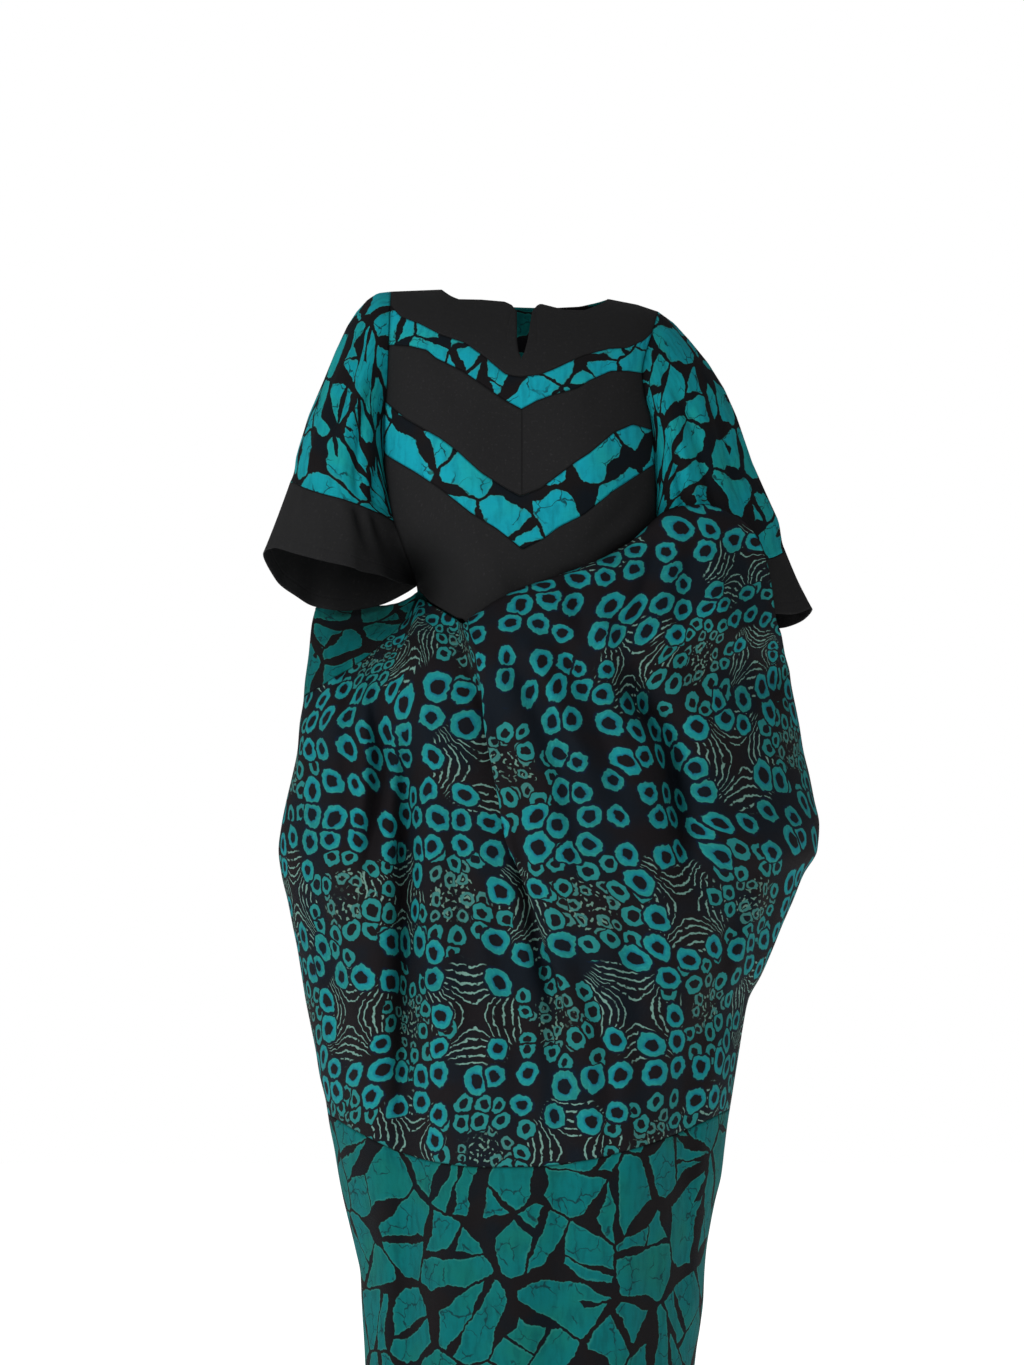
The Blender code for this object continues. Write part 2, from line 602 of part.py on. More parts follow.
def fold_half(w):
    """Give the half width of the overlap fold at a height."""
    return 0.006 + 0.016 * smooth_step((-0.36 - w) / 0.10)


def fold_lap(w):
    """Give how far the overlap fold turns back on itself at a height."""
    step = OVER(w) - UNDER(w)
    return 0.9 * min(1.0, max(0.0, step / 0.045)) * smooth_step((-0.375 - w) / 0.12)


def zone_across(zone, part, w):
    """Give the place across of a column of the front body at a height."""
    crest = CREST_ACROSS(w)
    half = fold_half(w)
    if zone == "left":
        side = SIDE_RIGHT(w)
        return side + (crest - half - side) * (1.0 - math.cos(0.5 * math.pi * part))
    if zone == "fold":
        return crest + half * (part - fold_lap(w) * math.sin(math.pi * part))
    side = SIDE_LEFT(w)
    return crest + half + (side - crest - half) * math.sin(0.5 * math.pi * part)


def front_body(collection, material):
    """Make the ring cloth of the front with its raised layer and overlap fold."""
    left, right, rows = BODY_LEFT, BODY_RIGHT, 28
    wedge = metres(WEDGE_EDGE)
    top_left = wedge[-1:] + metres(BODY_TOP_RIGHT)
    lip = [row[:2] for row in LIP_POINTS[:12]]
    fold_tops = ((463.0 - 5.5, 620.3), (463.0 - 3.0, 622.0), (463.0, 623.5), (463.0 + 3.0, 621.8), (468.5, 619.5))

    def spot(column, row):
        """Place one point of the front body."""
        zone, part = body_column(column, left, right)
        if zone == "left":
            u0, w0 = along(wedge, column / WEDGE_COLUMNS)
            if column > WEDGE_COLUMNS:
                u0, w0 = along(top_left, (column - WEDGE_COLUMNS) / (left - WEDGE_COLUMNS))
            w0 -= SEAM
        elif zone == "fold":
            x, y = fold_tops[column - left]
            u0, w0 = (x - 520.0) * 0.00108, (290.0 - y) * 0.00108
        else:
            u0, w0 = along(lip, part)
        shift = u0 - zone_across(zone, part, w0)
        end = -0.90
        for _ in range(3):
            end = FRONT_SEAM_UP(zone_across(zone, part, end)) + SEAM
        t = row / rows
        w = w0 + (end - w0) * t
        u = zone_across(zone, part, w) + shift * (1.0 - t) ** 2
        if zone == "left":
            y = front_under(u, w)
        elif zone == "right":
            y = front_over(u, w)
        else:
            lay = smooth_step(0.5 + 0.62 * part)
            y = front_under(u, w) * (1.0 - lay) + front_over(u, w) * lay
        return place(u, w, y - SIDE_SEAM)

    return grid_object("front_body", left + 4 + right, rows, spot, collection, material)


def front_border(collection, material):
    """Make the border of the front, on the same columns as the ring cloth above it."""
    rows = 7

    def spot(column, row):
        """Place one point of the border."""
        zone, part = body_column(column, BODY_LEFT, BODY_RIGHT)
        high = -0.90
        low = -1.40
        for _ in range(4):
            high = FRONT_SEAM_UP(zone_across(zone, part, high)) - SEAM
            u = zone_across(zone, part, low)
            low = SIGHT_UP + (HEM_LEVEL - SIGHT_UP) / (1.0 + front_under(u, low) / SIGHT_DISTANCE)
        w = high + (low - high) * row / rows
        u = zone_across(zone, part, w)
        return place(u, w, front_under(u, w) - SIDE_SEAM)

    return grid_object("front_border", BODY_LEFT + 4 + BODY_RIGHT, rows, spot, collection, material)


def skirt_share(columns, column):
    """Space columns evenly round the body."""
    return 0.5 - 0.5 * math.cos(math.pi * column / columns)


def skirt(name, top, bottom, columns, rows, depth, collection, material):
    """Make a piece of the skirt between two heights, or down to the level hem."""

    def spot(column, row):
        """Place one point of this piece."""
        share = skirt_share(columns, column)
        high = low = -0.90
        for _ in range(4):
            high = top(SIDE_RIGHT(high) + (SIDE_LEFT(high) - SIDE_RIGHT(high)) * share) - SEAM
            u = SIDE_RIGHT(low) + (SIDE_LEFT(low) - SIDE_RIGHT(low)) * share
            if bottom is None:
                low = SIGHT_UP + (HEM_LEVEL - SIGHT_UP) / (1.0 + depth(u, low) / SIGHT_DISTANCE)
            else:
                low = bottom(u) + SEAM
        w = high + (low - high) * row / rows
        u = SIDE_RIGHT(w) + (SIDE_LEFT(w) - SIDE_RIGHT(w)) * share
        return place(u, w, depth(u, w))

    return grid_object(name, columns, rows, spot, collection, material)


def body_back(u, w):
    """Give the depth of the back pieces."""
    return back_depth(u, w) + SIDE_SEAM


BACK_JOIN = -0.3262
BACK_UPPER_END = -0.432


def back_upper(collection, material):
    """Make the back from the shoulders to below the arms, with its two wings."""
    mesh = bmesh.new()
    columns, rows, wings, low_rows = 18, 9, WEDGE_COLUMNS, 5
    top = torso_share(BACK_NECK)
    ridge_right = [row[:2] for row in metres(RIDGE_RIGHT)]
    ridge_left = [row[:2] for row in metres(RIDGE_LEFT)]

    def upper(column, row):
        """Place one point between the armholes."""
        share = 2.0 * column / columns - 1.0
        high = top(share)
        high = on_shoulder(torso_across(share, high), high)
        w = high + (BACK_JOIN - high) * (row / rows) ** 1.3
        u = torso_across(share, w)
        return place(u, w, torso(u, w, True) + SIDE_SEAM)

    def lower(column, row):
        """Place one point of the wide part below the armholes."""
        end = BACK_UPPER_END + SEAM
        right = torso_across(-1.0, BACK_JOIN)
        left = torso_across(1.0, BACK_JOIN)
        if column < wings:
            share = column / wings
            u0, w0 = along(ridge_right, share)
            u0 = min(u0, right)
            low = SIDE_RIGHT(end) + (right - 0.012 - SIDE_RIGHT(end)) * share
        elif column > wings + columns:
            share = (wings + columns + wings - column) / wings
            u0, w0 = along(ridge_left[::-1], share)
            u0 = max(u0, left)
            low = SIDE_LEFT(end) + (left + 0.012 - SIDE_LEFT(end)) * share
        else:
            share = 2.0 * (column - wings) / columns - 1.0
            u0, w0 = torso_across(share, BACK_JOIN), BACK_JOIN
            low = u0 + 0.012 * share
        t = row / low_rows
        w = w0 + (end - w0) * t
        u = u0 + (low - u0) * t
        if column == 0:
            u = SIDE_RIGHT(w)
        if column == columns + 2 * wings:
            u = SIDE_LEFT(w)
        y = torso(u, w, True) if row == 0 and wings <= column <= wings + columns else back_depth(u, w)
        return place(u, w, y + SIDE_SEAM)

    add_grid(mesh, columns, rows, upper)
    add_grid(mesh, columns + 2 * wings, low_rows, lower)
    return finish_object("back_upper", mesh, collection, material)


class Sleeve:
    """One set-in sleeve: its armhole, its cuff seam and its open edge."""

    def __init__(self, side, armhole, top, seam, edge, corner, seam_up, arm_up):
        """Read the loops of this sleeve."""
        self.side = side
        self.armhole = armhole
        self.tip = metres(top)[0]
        self.top = metres(top)
        self.corner = corner
        self.seam_up = seam_up
        self.arm_up = arm_up
        self.seam = self.loop(seam, seam_up)
        self.edge = self.loop(edge, corner[1] + 0.002)

    def arm_point(self, w, back):
        """Give a point of the armhole at a height."""
        u = self.armhole(w)
        y = torso(u, w, back)
        return (u + self.side * ARMHOLE_SLEEVE, w, y if back else -y)

    def loop(self, table, end_up):
        """Read a loop whose two ends lie on the armhole."""
        rows = [(0.0, *self.arm_point(end_up, False))]
        rows += metres(table, (1, 2, 3))
        rows += [(1.0, *self.arm_point(end_up, True))]
        tracks = [track(rows, value=k, rounded=True) for k in (1, 2, 3)]
        return lambda turn: tuple(read(turn) for read in tracks)

    def arm_loop(self, turn):
        """Read the armhole from front to back over the shoulder tip."""
        w = self.tip[1] + (self.arm_up - self.tip[1]) * (1.0 - math.sin(math.pi * turn))
        return self.arm_point(w, turn > 0.5)

    def blend(self, turn, t, first, last, start_up, end_up, crown):
        """Stretch a surface between two loops, held to the armhole at both ends."""
        a = first(turn)
        b = last(turn)
        spot = [p + (q - p) * t for p, q in zip(a, b)]
        for end, back in ((0.0, False), (1.0, True)):
            near = max(0.0, 1.0 - abs(turn - end) / 0.16) ** 2
            held = self.arm_point(start_up + (end_up - start_up) * t, back)
            a = first(end)
            b = last(end)
            spot = [s + near * (h - p - (q - p) * t) for s, h, p, q in zip(spot, held, a, b)]
        if crown is not None:
            a = first(0.5)
            b = last(0.5)
            swell = math.sin(math.pi * turn) ** 1.6
            lift = [h - p - (q - p) * t for h, p, q in zip(crown(t), a, b)]
            spot = [s + swell * v for s, v in zip(spot, lift)]
        return spot

    def crown(self, t):
        """Give the top line of the sleeve at a share of its length."""
        u, w = along(self.top, t)
        return (u, w, self.seam(0.5)[2] * t)

    def sleeve_spot(self, turn, t):
        """Place one point of the sleeve."""
        u, w, y = self.blend(turn, t, self.arm_loop, self.seam, self.arm_up, self.seam_up, self.crown)
        full = math.sin(math.pi * t) * abs(math.sin(2.0 * math.pi * turn))
        return u, w, y + (0.012 if turn > 0.5 else -0.012) * full

    def cuff_spot(self, turn, t):
        """Place one point of the cuff."""
        return self.blend(turn, t, self.seam, self.edge, self.seam_up, self.corner[1] + 0.002, None)


def sleeve_pieces(label, sleeve, collection, sleeve_material, cuff_material):
    """Make a sleeve and its cuff, a seam's width apart."""
    columns, rows, cuff_rows = 28, 7, 4

    def upper(column, row):
        """Place one point of the sleeve."""
        t = row / rows
        u, w, y = sleeve.sleeve_spot(column / columns, t)
        return place(u, w + 0.0003 * smooth_step(t * 4.0 - 3.0), y)

    def lower(column, row):
        """Place one point of the cuff."""
        t = row / cuff_rows
        u, w, y = sleeve.cuff_spot(column / columns, t)
        return place(u, w - 0.0003 * smooth_step(1.0 - 4.0 * t), y)

    grid_object("sleeve_" + label, columns, rows, upper, collection, sleeve_material)
    grid_object("cuff_" + label, columns, cuff_rows, lower, collection, cuff_material)


def lowered(edge, drop):
    """Give the same edge moved down by a distance."""
    return lambda share: edge(share) - drop


def build():
    """Make the robe."""
    for thing in list(bpy.data.objects):
        bpy.data.objects.remove(thing, do_unlink=True)
    group = bpy.data.collections.new(NAME)
    bpy.context.scene.collection.children.link(group)
    black = (0.013, 0.013, 0.014)
    crackle = (0.012, 0.20, 0.22)
    rings = (0.012, 0.13, 0.14)

    yoke(group, cloth("front_yoke_cloth", black))
    yoke_edge = torso_share(YOKE_EDGE)
    one = torso_share(CHEVRON_ONE_EDGE)
    two_top = torso_share(CHEVRON_TWO_TOP)
    two = torso_share(CHEVRON_TWO_EDGE)
    waist = torso_share(MIDRIFF_EDGE)
    strips = (
        ("chevron_upper", yoke_edge, one, 3, crackle),
        ("front_chest", one, two_top, 5, black),
        ("chevron_lower", two_top, two, 3, crackle),
        ("front_midriff", two, waist, 8, black),
    )
    for name, high, low, rows, colour in strips:
        panel(name, lowered(high, SEAM), lowered(low, -SEAM), 18, rows, group, cloth(name + "_cloth", colour))
    right_side(group, cloth("front_side_right_cloth", crackle))
    front_body(group, cloth("front_body_cloth", rings))
    front_border(group, cloth("front_border_cloth", crackle))
    back_upper(group, cloth("back_upper_cloth", crackle))
    skirt("back_body", lambda u: BACK_UPPER_END, BACK_SEAM_UP, 24, 15, body_back, group,
          cloth("back_body_cloth", rings))
    skirt("back_border", BACK_SEAM_UP, None, 24, 7, body_back, group, cloth("back_border_cloth", crackle))

    right = Sleeve(-1, ARM_RIGHT, SLEEVE_RIGHT_TOP, CUFF_SEAM_RIGHT, CUFF_EDGE_RIGHT, UNDERARM_RIGHT, -0.2495,
                   -0.2268)
    left = Sleeve(1, ARM_LEFT, SLEEVE_LEFT_TOP, CUFF_SEAM_LEFT, CUFF_EDGE_LEFT, UNDERARM_LEFT, -0.2592, -0.2365)
    sleeve_pieces("right", right, group, cloth("sleeve_right_cloth", crackle), cloth("cuff_right_cloth", black))
    sleeve_pieces("left", left, group, cloth("sleeve_left_cloth", crackle), cloth("cuff_left_cloth", black))


build()
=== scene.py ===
"""Grand boubou robe, worn: printed and sewn cotton laid over its fifteen solids.

The shape tables are in millimetres on the reading plane, the upright plane through the mount:
across (wearer's left is plus), up, and depth (plus is behind). A point at some depth is moved
along the line of sight, so the outline stays as it was read. All other lengths are metres, and
left and right are the wearer's. In the code u is across, w is up and y is depth.
"""
import bisect
import logging
import math
from dataclasses import dataclass
from enum import Enum
from typing import Callable, Sequence, TypeVar

import bmesh
import bpy
import numpy as np
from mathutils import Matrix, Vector


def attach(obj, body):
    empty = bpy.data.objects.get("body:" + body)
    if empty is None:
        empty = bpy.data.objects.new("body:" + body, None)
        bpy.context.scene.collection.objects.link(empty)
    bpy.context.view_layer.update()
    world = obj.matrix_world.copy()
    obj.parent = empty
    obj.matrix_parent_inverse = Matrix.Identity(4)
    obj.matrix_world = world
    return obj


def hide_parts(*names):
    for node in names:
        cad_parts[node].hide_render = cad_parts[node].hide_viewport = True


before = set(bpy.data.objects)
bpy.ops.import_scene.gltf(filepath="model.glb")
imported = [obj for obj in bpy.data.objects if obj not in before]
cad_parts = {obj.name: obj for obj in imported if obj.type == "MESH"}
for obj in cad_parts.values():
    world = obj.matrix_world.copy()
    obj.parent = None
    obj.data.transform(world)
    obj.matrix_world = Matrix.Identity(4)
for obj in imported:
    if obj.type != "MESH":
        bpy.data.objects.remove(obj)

LOG = logging.getLogger("robe")
Table = Sequence[Sequence[float]]
Spot = tuple[float, float, float]
Line = list[tuple[float, ...]]
Shape = Callable[[float, float], Sequence[float]]
Socket = bpy.types.NodeSocket
Colour = tuple[float, float, float, float]
Amount = TypeVar("Amount", float, np.ndarray)

MM = 0.001
EVENED_PART = 14
TINY = 1e-9
# the line of sight that the outline was read along
SIGHT_ACROSS = -0.0086
SIGHT_UP = -0.424
SIGHT_DISTANCE = 3.4
# heights, two of them first guesses that a few rounds put right
FLOOR_LEVEL = -1.405
HEM_LEVEL = -1.38
SLIT_TOP = -0.0238
SLIT_END = -0.072
BACK_JOIN = -0.3262
BACK_UPPER_END = -0.432
SEAM_GUESS = -0.90
HEM_GUESS = -1.40
ROUNDS = 4
# the wall of the cloth, and how far its pieces stop short of a seam
WALL = 0.0011
MERGE = 0.00001
SEAM = 0.00012
SIDE_SEAM = 0.00012
ARMHOLE_TORSO = 0.0001
ARMHOLE_SLEEVE = 0.0002
# the upper body: its places, its depths and how round it is
CENTRE = 0.0016
UNDERARM_RIGHT = (-0.1112, -0.3218)
UNDERARM_LEFT = (0.1382, -0.3262)
UNDERARM_ROUND = 0.035
UNDERARM_HOLD = 0.93
SHOULDER_ROUND = 0.10
SHOULDER_CATCH = 0.0015
ARM_FRONT = 0.085
ARM_BACK = 0.078
CHEST = 0.130
WAIST_MORE = 0.017
WAIST_DROP = 0.25
CHEST_PLACES = ((-0.075, -0.165), (0.072, -0.165))
CHEST_FULL = 0.010
CHEST_WIDE = 0.05
CHEST_TALL = 0.06
TORSO_ROUND = 0.6
# the loose cloth: where it leaves the upper body and the folds under the arms
LOOSE_UP = -0.52
JOIN_UP = -0.335
JOIN_FRONT = 0.07
JOIN_BACK = 0.08
ROUND_FRONT = 2.2
ROUND_BACK = 2.1
EDGE_CALM = 3.0
WING_REACH = 0.12
WING_REACH_LESS = 0.08
WING_WIDE = 0.14
WING_NEAR = 0.054
WING_SLACK = 0.002
CORNER_OPEN = 0.006
CORNER_WIDE = 0.012
# the raised cloth: its lip, its outer edge and its overlap fold
LIP_ROUND = 0.068
LIP_POINTS = 12
LIP_TORSO_END = 0.145
LIP_CLEAR = 0.007
OVER_EDGE = 0.10
OVER_EDGE_UP = -0.411
OVER_EDGE_EASE = 0.05
FOLD_HALF = 0.006
FOLD_MORE = 0.016
FOLD_UP = -0.36
FOLD_OPENS = 0.10
LAP = 0.9
LAP_STEP = 0.045
LAP_UP = -0.375
LAP_OPENS = 0.12
# how fine creases fade at both ends of their path and where the cloth is shallow
CREASE_START = 0.30
CREASE_END = 0.42
CREASE_DEPTH = 0.05
FAR = 9.0

# up, across: the seams where the sleeves are set in
ARMHOLE_RIGHT = (
    (-2.2, -139.3), (-62.6, -141.5), (-108, -143.6), (-146.9, -146.9), (-183.6, -146.9),
    (-216, -143.1), (-246.2, -137.2), (-267.8, -129.6), (-293.8, -120.4), (-308.9, -115.6),
    (-321.8, -111.2), (-356.4, -109.1),
)
ARMHOLE_LEFT = (
    (-23.8, 149), (-48.6, 141.5), (-75.6, 133.4), (-89.6, 131.8), (-111.2, 133.9),
    (-141.5, 141.5), (-186.8, 145.8), (-233.3, 146.9), (-270, 145.8), (-302.4, 142),
    (-326.2, 138.2), (-356.4, 136.1),
)
# across, up: shoulder line, neckline and panel edges of the front
SHOULDER = (
    (-151.2, -3.2), (-139.3, -2.2), (-85.3, 0), (5.4, -4.3), (96.1, -10.3), (126.4, -16.2),
    (149, -23.8), (164.2, -30.2),
)
NECK_RIGHT = (
    (-139.3, -2.2), (-85.3, 0), (-77.8, -5.4), (-67, -10.3), (-41.6, -10.8), (-16.2, -13),
    (-8.6, -16.7), (-3.2, -23.8),
)
NECK_LEFT = (
    (13, -23.8), (17.3, -17.8), (22.1, -15.1), (47.5, -21.6), (70.2, -22.2), (85.9, -16.2),
    (96.1, -10.3), (126.4, -16.2), (149, -23.8),
)
YOKE_EDGE = (
    (-139.3, -17.3), (-128.5, -29.2), (-108, -36.7), (-85.3, -48.6), (-59.4, -57.2),
    (-36.7, -73.4), (-16.2, -90.7), (-7.6, -92.9), (1.6, -94), (10.8, -92.9), (21.6, -91.8),
    (37.8, -85.3), (68, -71.3), (96.1, -63.7), (116.6, -62.6), (135, -54), (146.9, -41),
)
CHEVRON_ONE_EDGE = (
    (-140.9, -59.4), (-118.8, -60.5), (-100.4, -64.8), (-90.7, -73.4), (-61.6, -87.5),
    (-44.3, -99.4), (-16.2, -118.8), (1.7, -128.5), (17.3, -119.9), (34.6, -113.4),
    (62.6, -105.8), (75.6, -97.2), (98.3, -87.5), (116.6, -87.5), (131.8, -89.6),
)
CHEVRON_TWO_TOP = (
    (-145.3, -121), (-136.1, -128.5), (-123.1, -139.3), (-87.5, -159.3), (-67, -174.5),
    (-41.6, -197.6), (-16.2, -213.8), (0.5, -223), (22.1, -214.9), (60.5, -185.8), (75.6, -176),
    (101.1, -154.4), (121.5, -145.3), (131.8, -148), (142.6, -151.2),
)
CHEVRON_TWO_EDGE = (
    (-146.9, -176), (-142.6, -179.3), (-112.9, -196.6), (-85.3, -214.9), (-54, -239.8),
    (-25.9, -257), (3.2, -280.3), (24.8, -268.9), (42.1, -256), (70.2, -241.9), (101.1, -216.6),
    (145.8, -187.3),
)
MIDRIFF_EDGE = (
    (-111.2, -322.9), (-97.2, -337), (-81, -346.7), (-67.5, -354.8), (-61.6, -355.3),
    (-43.2, -378), (1.1, -408.2), (43.2, -394.2), (97.2, -361.8), (138.2, -326.2),
)
BACK_NECK = (
    (-139.3, -2.2), (-85.3, 0), (-73.4, -7.6), (-54, -14.6), (-21.6, -18.4), (5.4, -19.4),
    (32.4, -20), (64.8, -18.4), (84.2, -14), (96.1, -10.3), (126.4, -16.2), (149, -23.8),
)
# up, across: the two sides of the neck slit
SLIT_RIGHT = (
    (0, -6.5), (-10.8, -5.9), (-23.8, -3.2), (-55.1, -3.2), (-67, -1.5), (-73.4, 1.6),
    (-97.2, 1.6),
)
SLIT_LEFT = (
    (0, 15.1), (-10.8, 14), (-23.8, 13), (-55.1, 8.1), (-67, 4.9), (-73.4, 1.6), (-97.2, 1.6),
)
# up, across: outline of the body below the sleeves, and the crest the ring cloth hangs from
BODY_OUTLINE_RIGHT = (
    (-334.8, -219.2), (-342.4, -220.3), (-361.8, -224.6), (-394.2, -227.9), (-426.6, -232.2),
    (-442.8, -233.3), (-469.8, -237.6), (-496.8, -239.8), (-523.8, -245.2), (-550.8, -251.6),
    (-577.8, -257), (-604.8, -260.3), (-631.8, -257), (-658.8, -250.6), (-685.8, -245.2),
    (-712.8, -239.8), (-739.8, -235.4), (-766.8, -231.1), (-793.8, -225.7), (-820.8, -220.3),
    (-847.8, -216), (-874.8, -209.5), (-901.8, -205.2), (-928.8, -199.8), (-955.8, -195.5),
    (-982.8, -190.1), (-1009.8, -183.6), (-1036.8, -177.1), (-1063.8, -171.7), (-1090.8, -170.6),
    (-1144.8, -167.4), (-1198.8, -165.2), (-1306.8, -162), (-1436.4, -158.8),
)
BODY_OUTLINE_LEFT = (
    (-231.1, 217.1), (-238.7, 223.6), (-248.4, 240.8), (-265.1, 254.9), (-286.8, 264.6),
    (-320.8, 272.2), (-356.4, 276.5), (-371.5, 281.9), (-394.2, 286.2), (-410.4, 290.5),
    (-426.6, 292.7), (-442.8, 295.9), (-469.8, 301.3), (-496.8, 305.6), (-523.8, 312.1),
    (-550.8, 317.5), (-577.8, 322.9), (-604.8, 320.8), (-631.8, 305.6), (-658.8, 294.8),
    (-685.8, 283), (-712.8, 272.2), (-739.8, 260.3), (-766.8, 246.2), (-793.8, 240.8),
    (-820.8, 236.5), (-847.8, 232.2), (-874.8, 227.9), (-901.8, 223.6), (-928.8, 220.3),
    (-955.8, 217.1), (-982.8, 210.6), (-1009.8, 205.2), (-1036.8, 200.9), (-1063.8, 198.7),
    (-1090.8, 197.6), (-1117.8, 194.4), (-1144.8, 190.1), (-1198.8, 184.7), (-1306.8, 177.1),
    (-1436.4, 169.6),
)
CREST = (
    (-334.8, -61.6), (-359.6, -61.6), (-388.8, -54), (-442.8, -37.8), (-496.8, -23.8),
    (-550.8, -13), (-588.6, -6.5), (-627.5, 7.6), (-665.3, 19.4), (-699.8, 27), (-732.2, 37.3),
    (-766.8, 47.2), (-793.8, 54.5), (-811.1, 59.4), (-842.4, 67), (-885.6, 71.3), (-945, 73.4),
    (-1090.8, 56.2), (-1252.8, 30.2), (-1436.4, 13),
)
# across, up: edges of the ring cloth and of the border
WEDGE_EDGE = (
    (-233.1, -439.6), (-216, -428.8), (-200.9, -419), (-181.4, -408.2), (-162, -394.2),
    (-142.6, -375.8), (-129.6, -364), (-119.9, -353.2),
)
BODY_TOP_RIGHT = (
    (-114.5, -341.3), (-109.1, -332.1), (-97.2, -339.1), (-81, -348.6), (-67.5, -356.7),
)
FRONT_SEAM = (
    (-210.6, -887.8), (-205.2, -891), (-172.8, -910.4), (-129.6, -931), (-86.4, -942.8),
    (-37.8, -947.7), (10.8, -947.2), (73.4, -939.6), (129.6, -925.6), (183.6, -905),
    (232.2, -881.3),
)
BACK_SEAM = (
    (-210.6, -887.8), (-129.6, -879.1), (-64.8, -874.8), (10.8, -872.6), (86.4, -874.8),
    (162, -879.1), (232.2, -881.3),
)
# across, up, depth: the lip of the raised cloth, and the folds under the arms
LIP = (
    (-55.6, -355.9, -150), (-29.2, -337.6, -152), (-3.2, -323.6, -150), (29.8, -312.1, -148),
    (60.5, -302, -144), (93.5, -287.9, -138), (121.5, -271.1, -128), (138.2, -254.9, -121),
    (153.4, -240.8, -118), (172.8, -233.8, -116), (202, -231.1, -115), (223.6, -238.7, -115),
    (240.8, -248.4, -115), (254.9, -265.1, -115), (264.6, -286.8, -114), (272.2, -320.8, -110),
    (276.5, -356.4, -96), (281.9, -371.5, -78), (286.2, -394.2, -34), (290.5, -411.5, 0),
)
RIDGE_RIGHT = (
    (-222.5, -342.4, 75), (-210.6, -341.3, 75), (-190.1, -341.3, 75), (-170.6, -341.3, 72),
    (-145.8, -340.7, 55), (-131.8, -338, 32), (-123.1, -334.3, 14), (-116.6, -330.5, 4),
    (-111.2, -326.2, 0),
)
RIDGE_LEFT = (
    (138.2, -326.2, 0), (143.6, -333.7, 4), (151.2, -342.4, 14), (159.8, -351, 32),
    (175, -360.7, 50), (194.4, -368.3, 62), (221.4, -373.7, 70), (248.4, -378, 70),
    (267.8, -384.5, 60), (279.7, -394.2, 42), (287.3, -403.9, 20), (290.5, -411.5, 1),
)
# up, depth: how far the cloth stands from the middle plane
FRONT_UNDER = (
    (-291.6, 143), (-358.6, 146), (-442.8, 160), (-588.6, 180), (-712.8, 191), (-831.6, 205),
    (-945, 195), (-1161, 176), (-1436.4, 165),
)
FRONT_OVER = (
    (-226.8, 162), (-291.6, 186), (-358.6, 212), (-442.8, 224), (-588.6, 227), (-712.8, 216),
    (-831.6, 206), (-945, 195), (-1161, 176), (-1436.4, 165),
)
BACK_DEPTH = (
    (0, 86), (-94, 96), (-172.8, 105), (-280.8, 103), (-356.4, 110), (-442.8, 121), (-588.6, 140),
    (-766.8, 150), (-945, 150), (-1161, 141), (-1436.4, 135),
)
# across, up: top line of each sleeve
SLEEVE_RIGHT_TOP = (
    (-139.3, -2.2), (-153.4, -3.8), (-164.2, -10.8), (-176, -23.8), (-185.8, -38.9),
    (-198.7, -67), (-211.7, -99.4), (-226.8, -135), (-237.6, -170.6), (-247.3, -207.4),
)
SLEEVE_LEFT_TOP = (
    (149, -23.8), (165.8, -36.2), (182.5, -55.1), (202, -79.9), (218.8, -108), (231.1, -137.2),
    (247.3, -187.9), (264.6, -229), (281.4, -267.8), (286.2, -281.9),
)
# shares of the way round a cuff, then across, up, depth there; the seams stop one share earlier
CUFF_TURNS = (0.08, 0.18, 0.28, 0.36, 0.43, 0.48, 0.52, 0.58, 0.64, 0.71, 0.78, 0.86, 0.92, 0.97)
CUFF_SEAM_RIGHT = (
    (-148, -243, -97), (-167.4, -234.4, -116), (-191.2, -225.7, -125), (-213.8, -219.8, -120),
    (-233.3, -213.3, -100), (-244.1, -207.9, -76), (-247.9, -207.9, -52), (-244.1, -218.2, -18),
    (-235.4, -229, 10), (-221.4, -237.6, 34), (-203, -243, 52), (-178.2, -247.3, 66),
    (-158.8, -248.4, 74),
)
CUFF_EDGE_RIGHT = (
    (-124.2, -317.5, -48), (-151.2, -308.9, -98), (-179.3, -300.2, -127), (-210.6, -293.2, -128),
    (-241.9, -285.1, -106), (-268.4, -277.6, -68), (-274.3, -283, -40), (-272.2, -298.1, -12),
    (-262.4, -315.4, 8), (-243, -330.5, 24), (-220.3, -341.8, 34), (-190.1, -347.2, 40),
    (-151.2, -340.2, 38), (-125.3, -328.3, 24),
)
CUFF_SEAM_LEFT = (
    (156.6, -265.7, -86), (177.1, -273.2, -94), (202, -281.9, -98), (227.9, -288.4, -94),
    (256, -291.6, -80), (273.2, -288.9, -60), (286.2, -281.9, -34), (284, -291.6, -8),
    (275.4, -298.1, 14), (259.2, -301.3, 32), (239.8, -299.2, 46), (211.7, -290.5, 58),
    (183.6, -278.6, 68),
)
CUFF_EDGE_LEFT = (
    (151.2, -328.3, -44), (178.2, -334.8, -76), (210.6, -341.3, -92), (243, -346.7, -93),
    (275.4, -349.4, -78), (298.1, -349.4, -54), (311.6, -345.1, -28), (312.8, -349.9, -8),
    (306.7, -356.4, 10), (284, -365, 28), (253.8, -367.2, 40), (221.4, -365, 44),
    (185.8, -354.2, 38), (155.5, -338, 24),
)
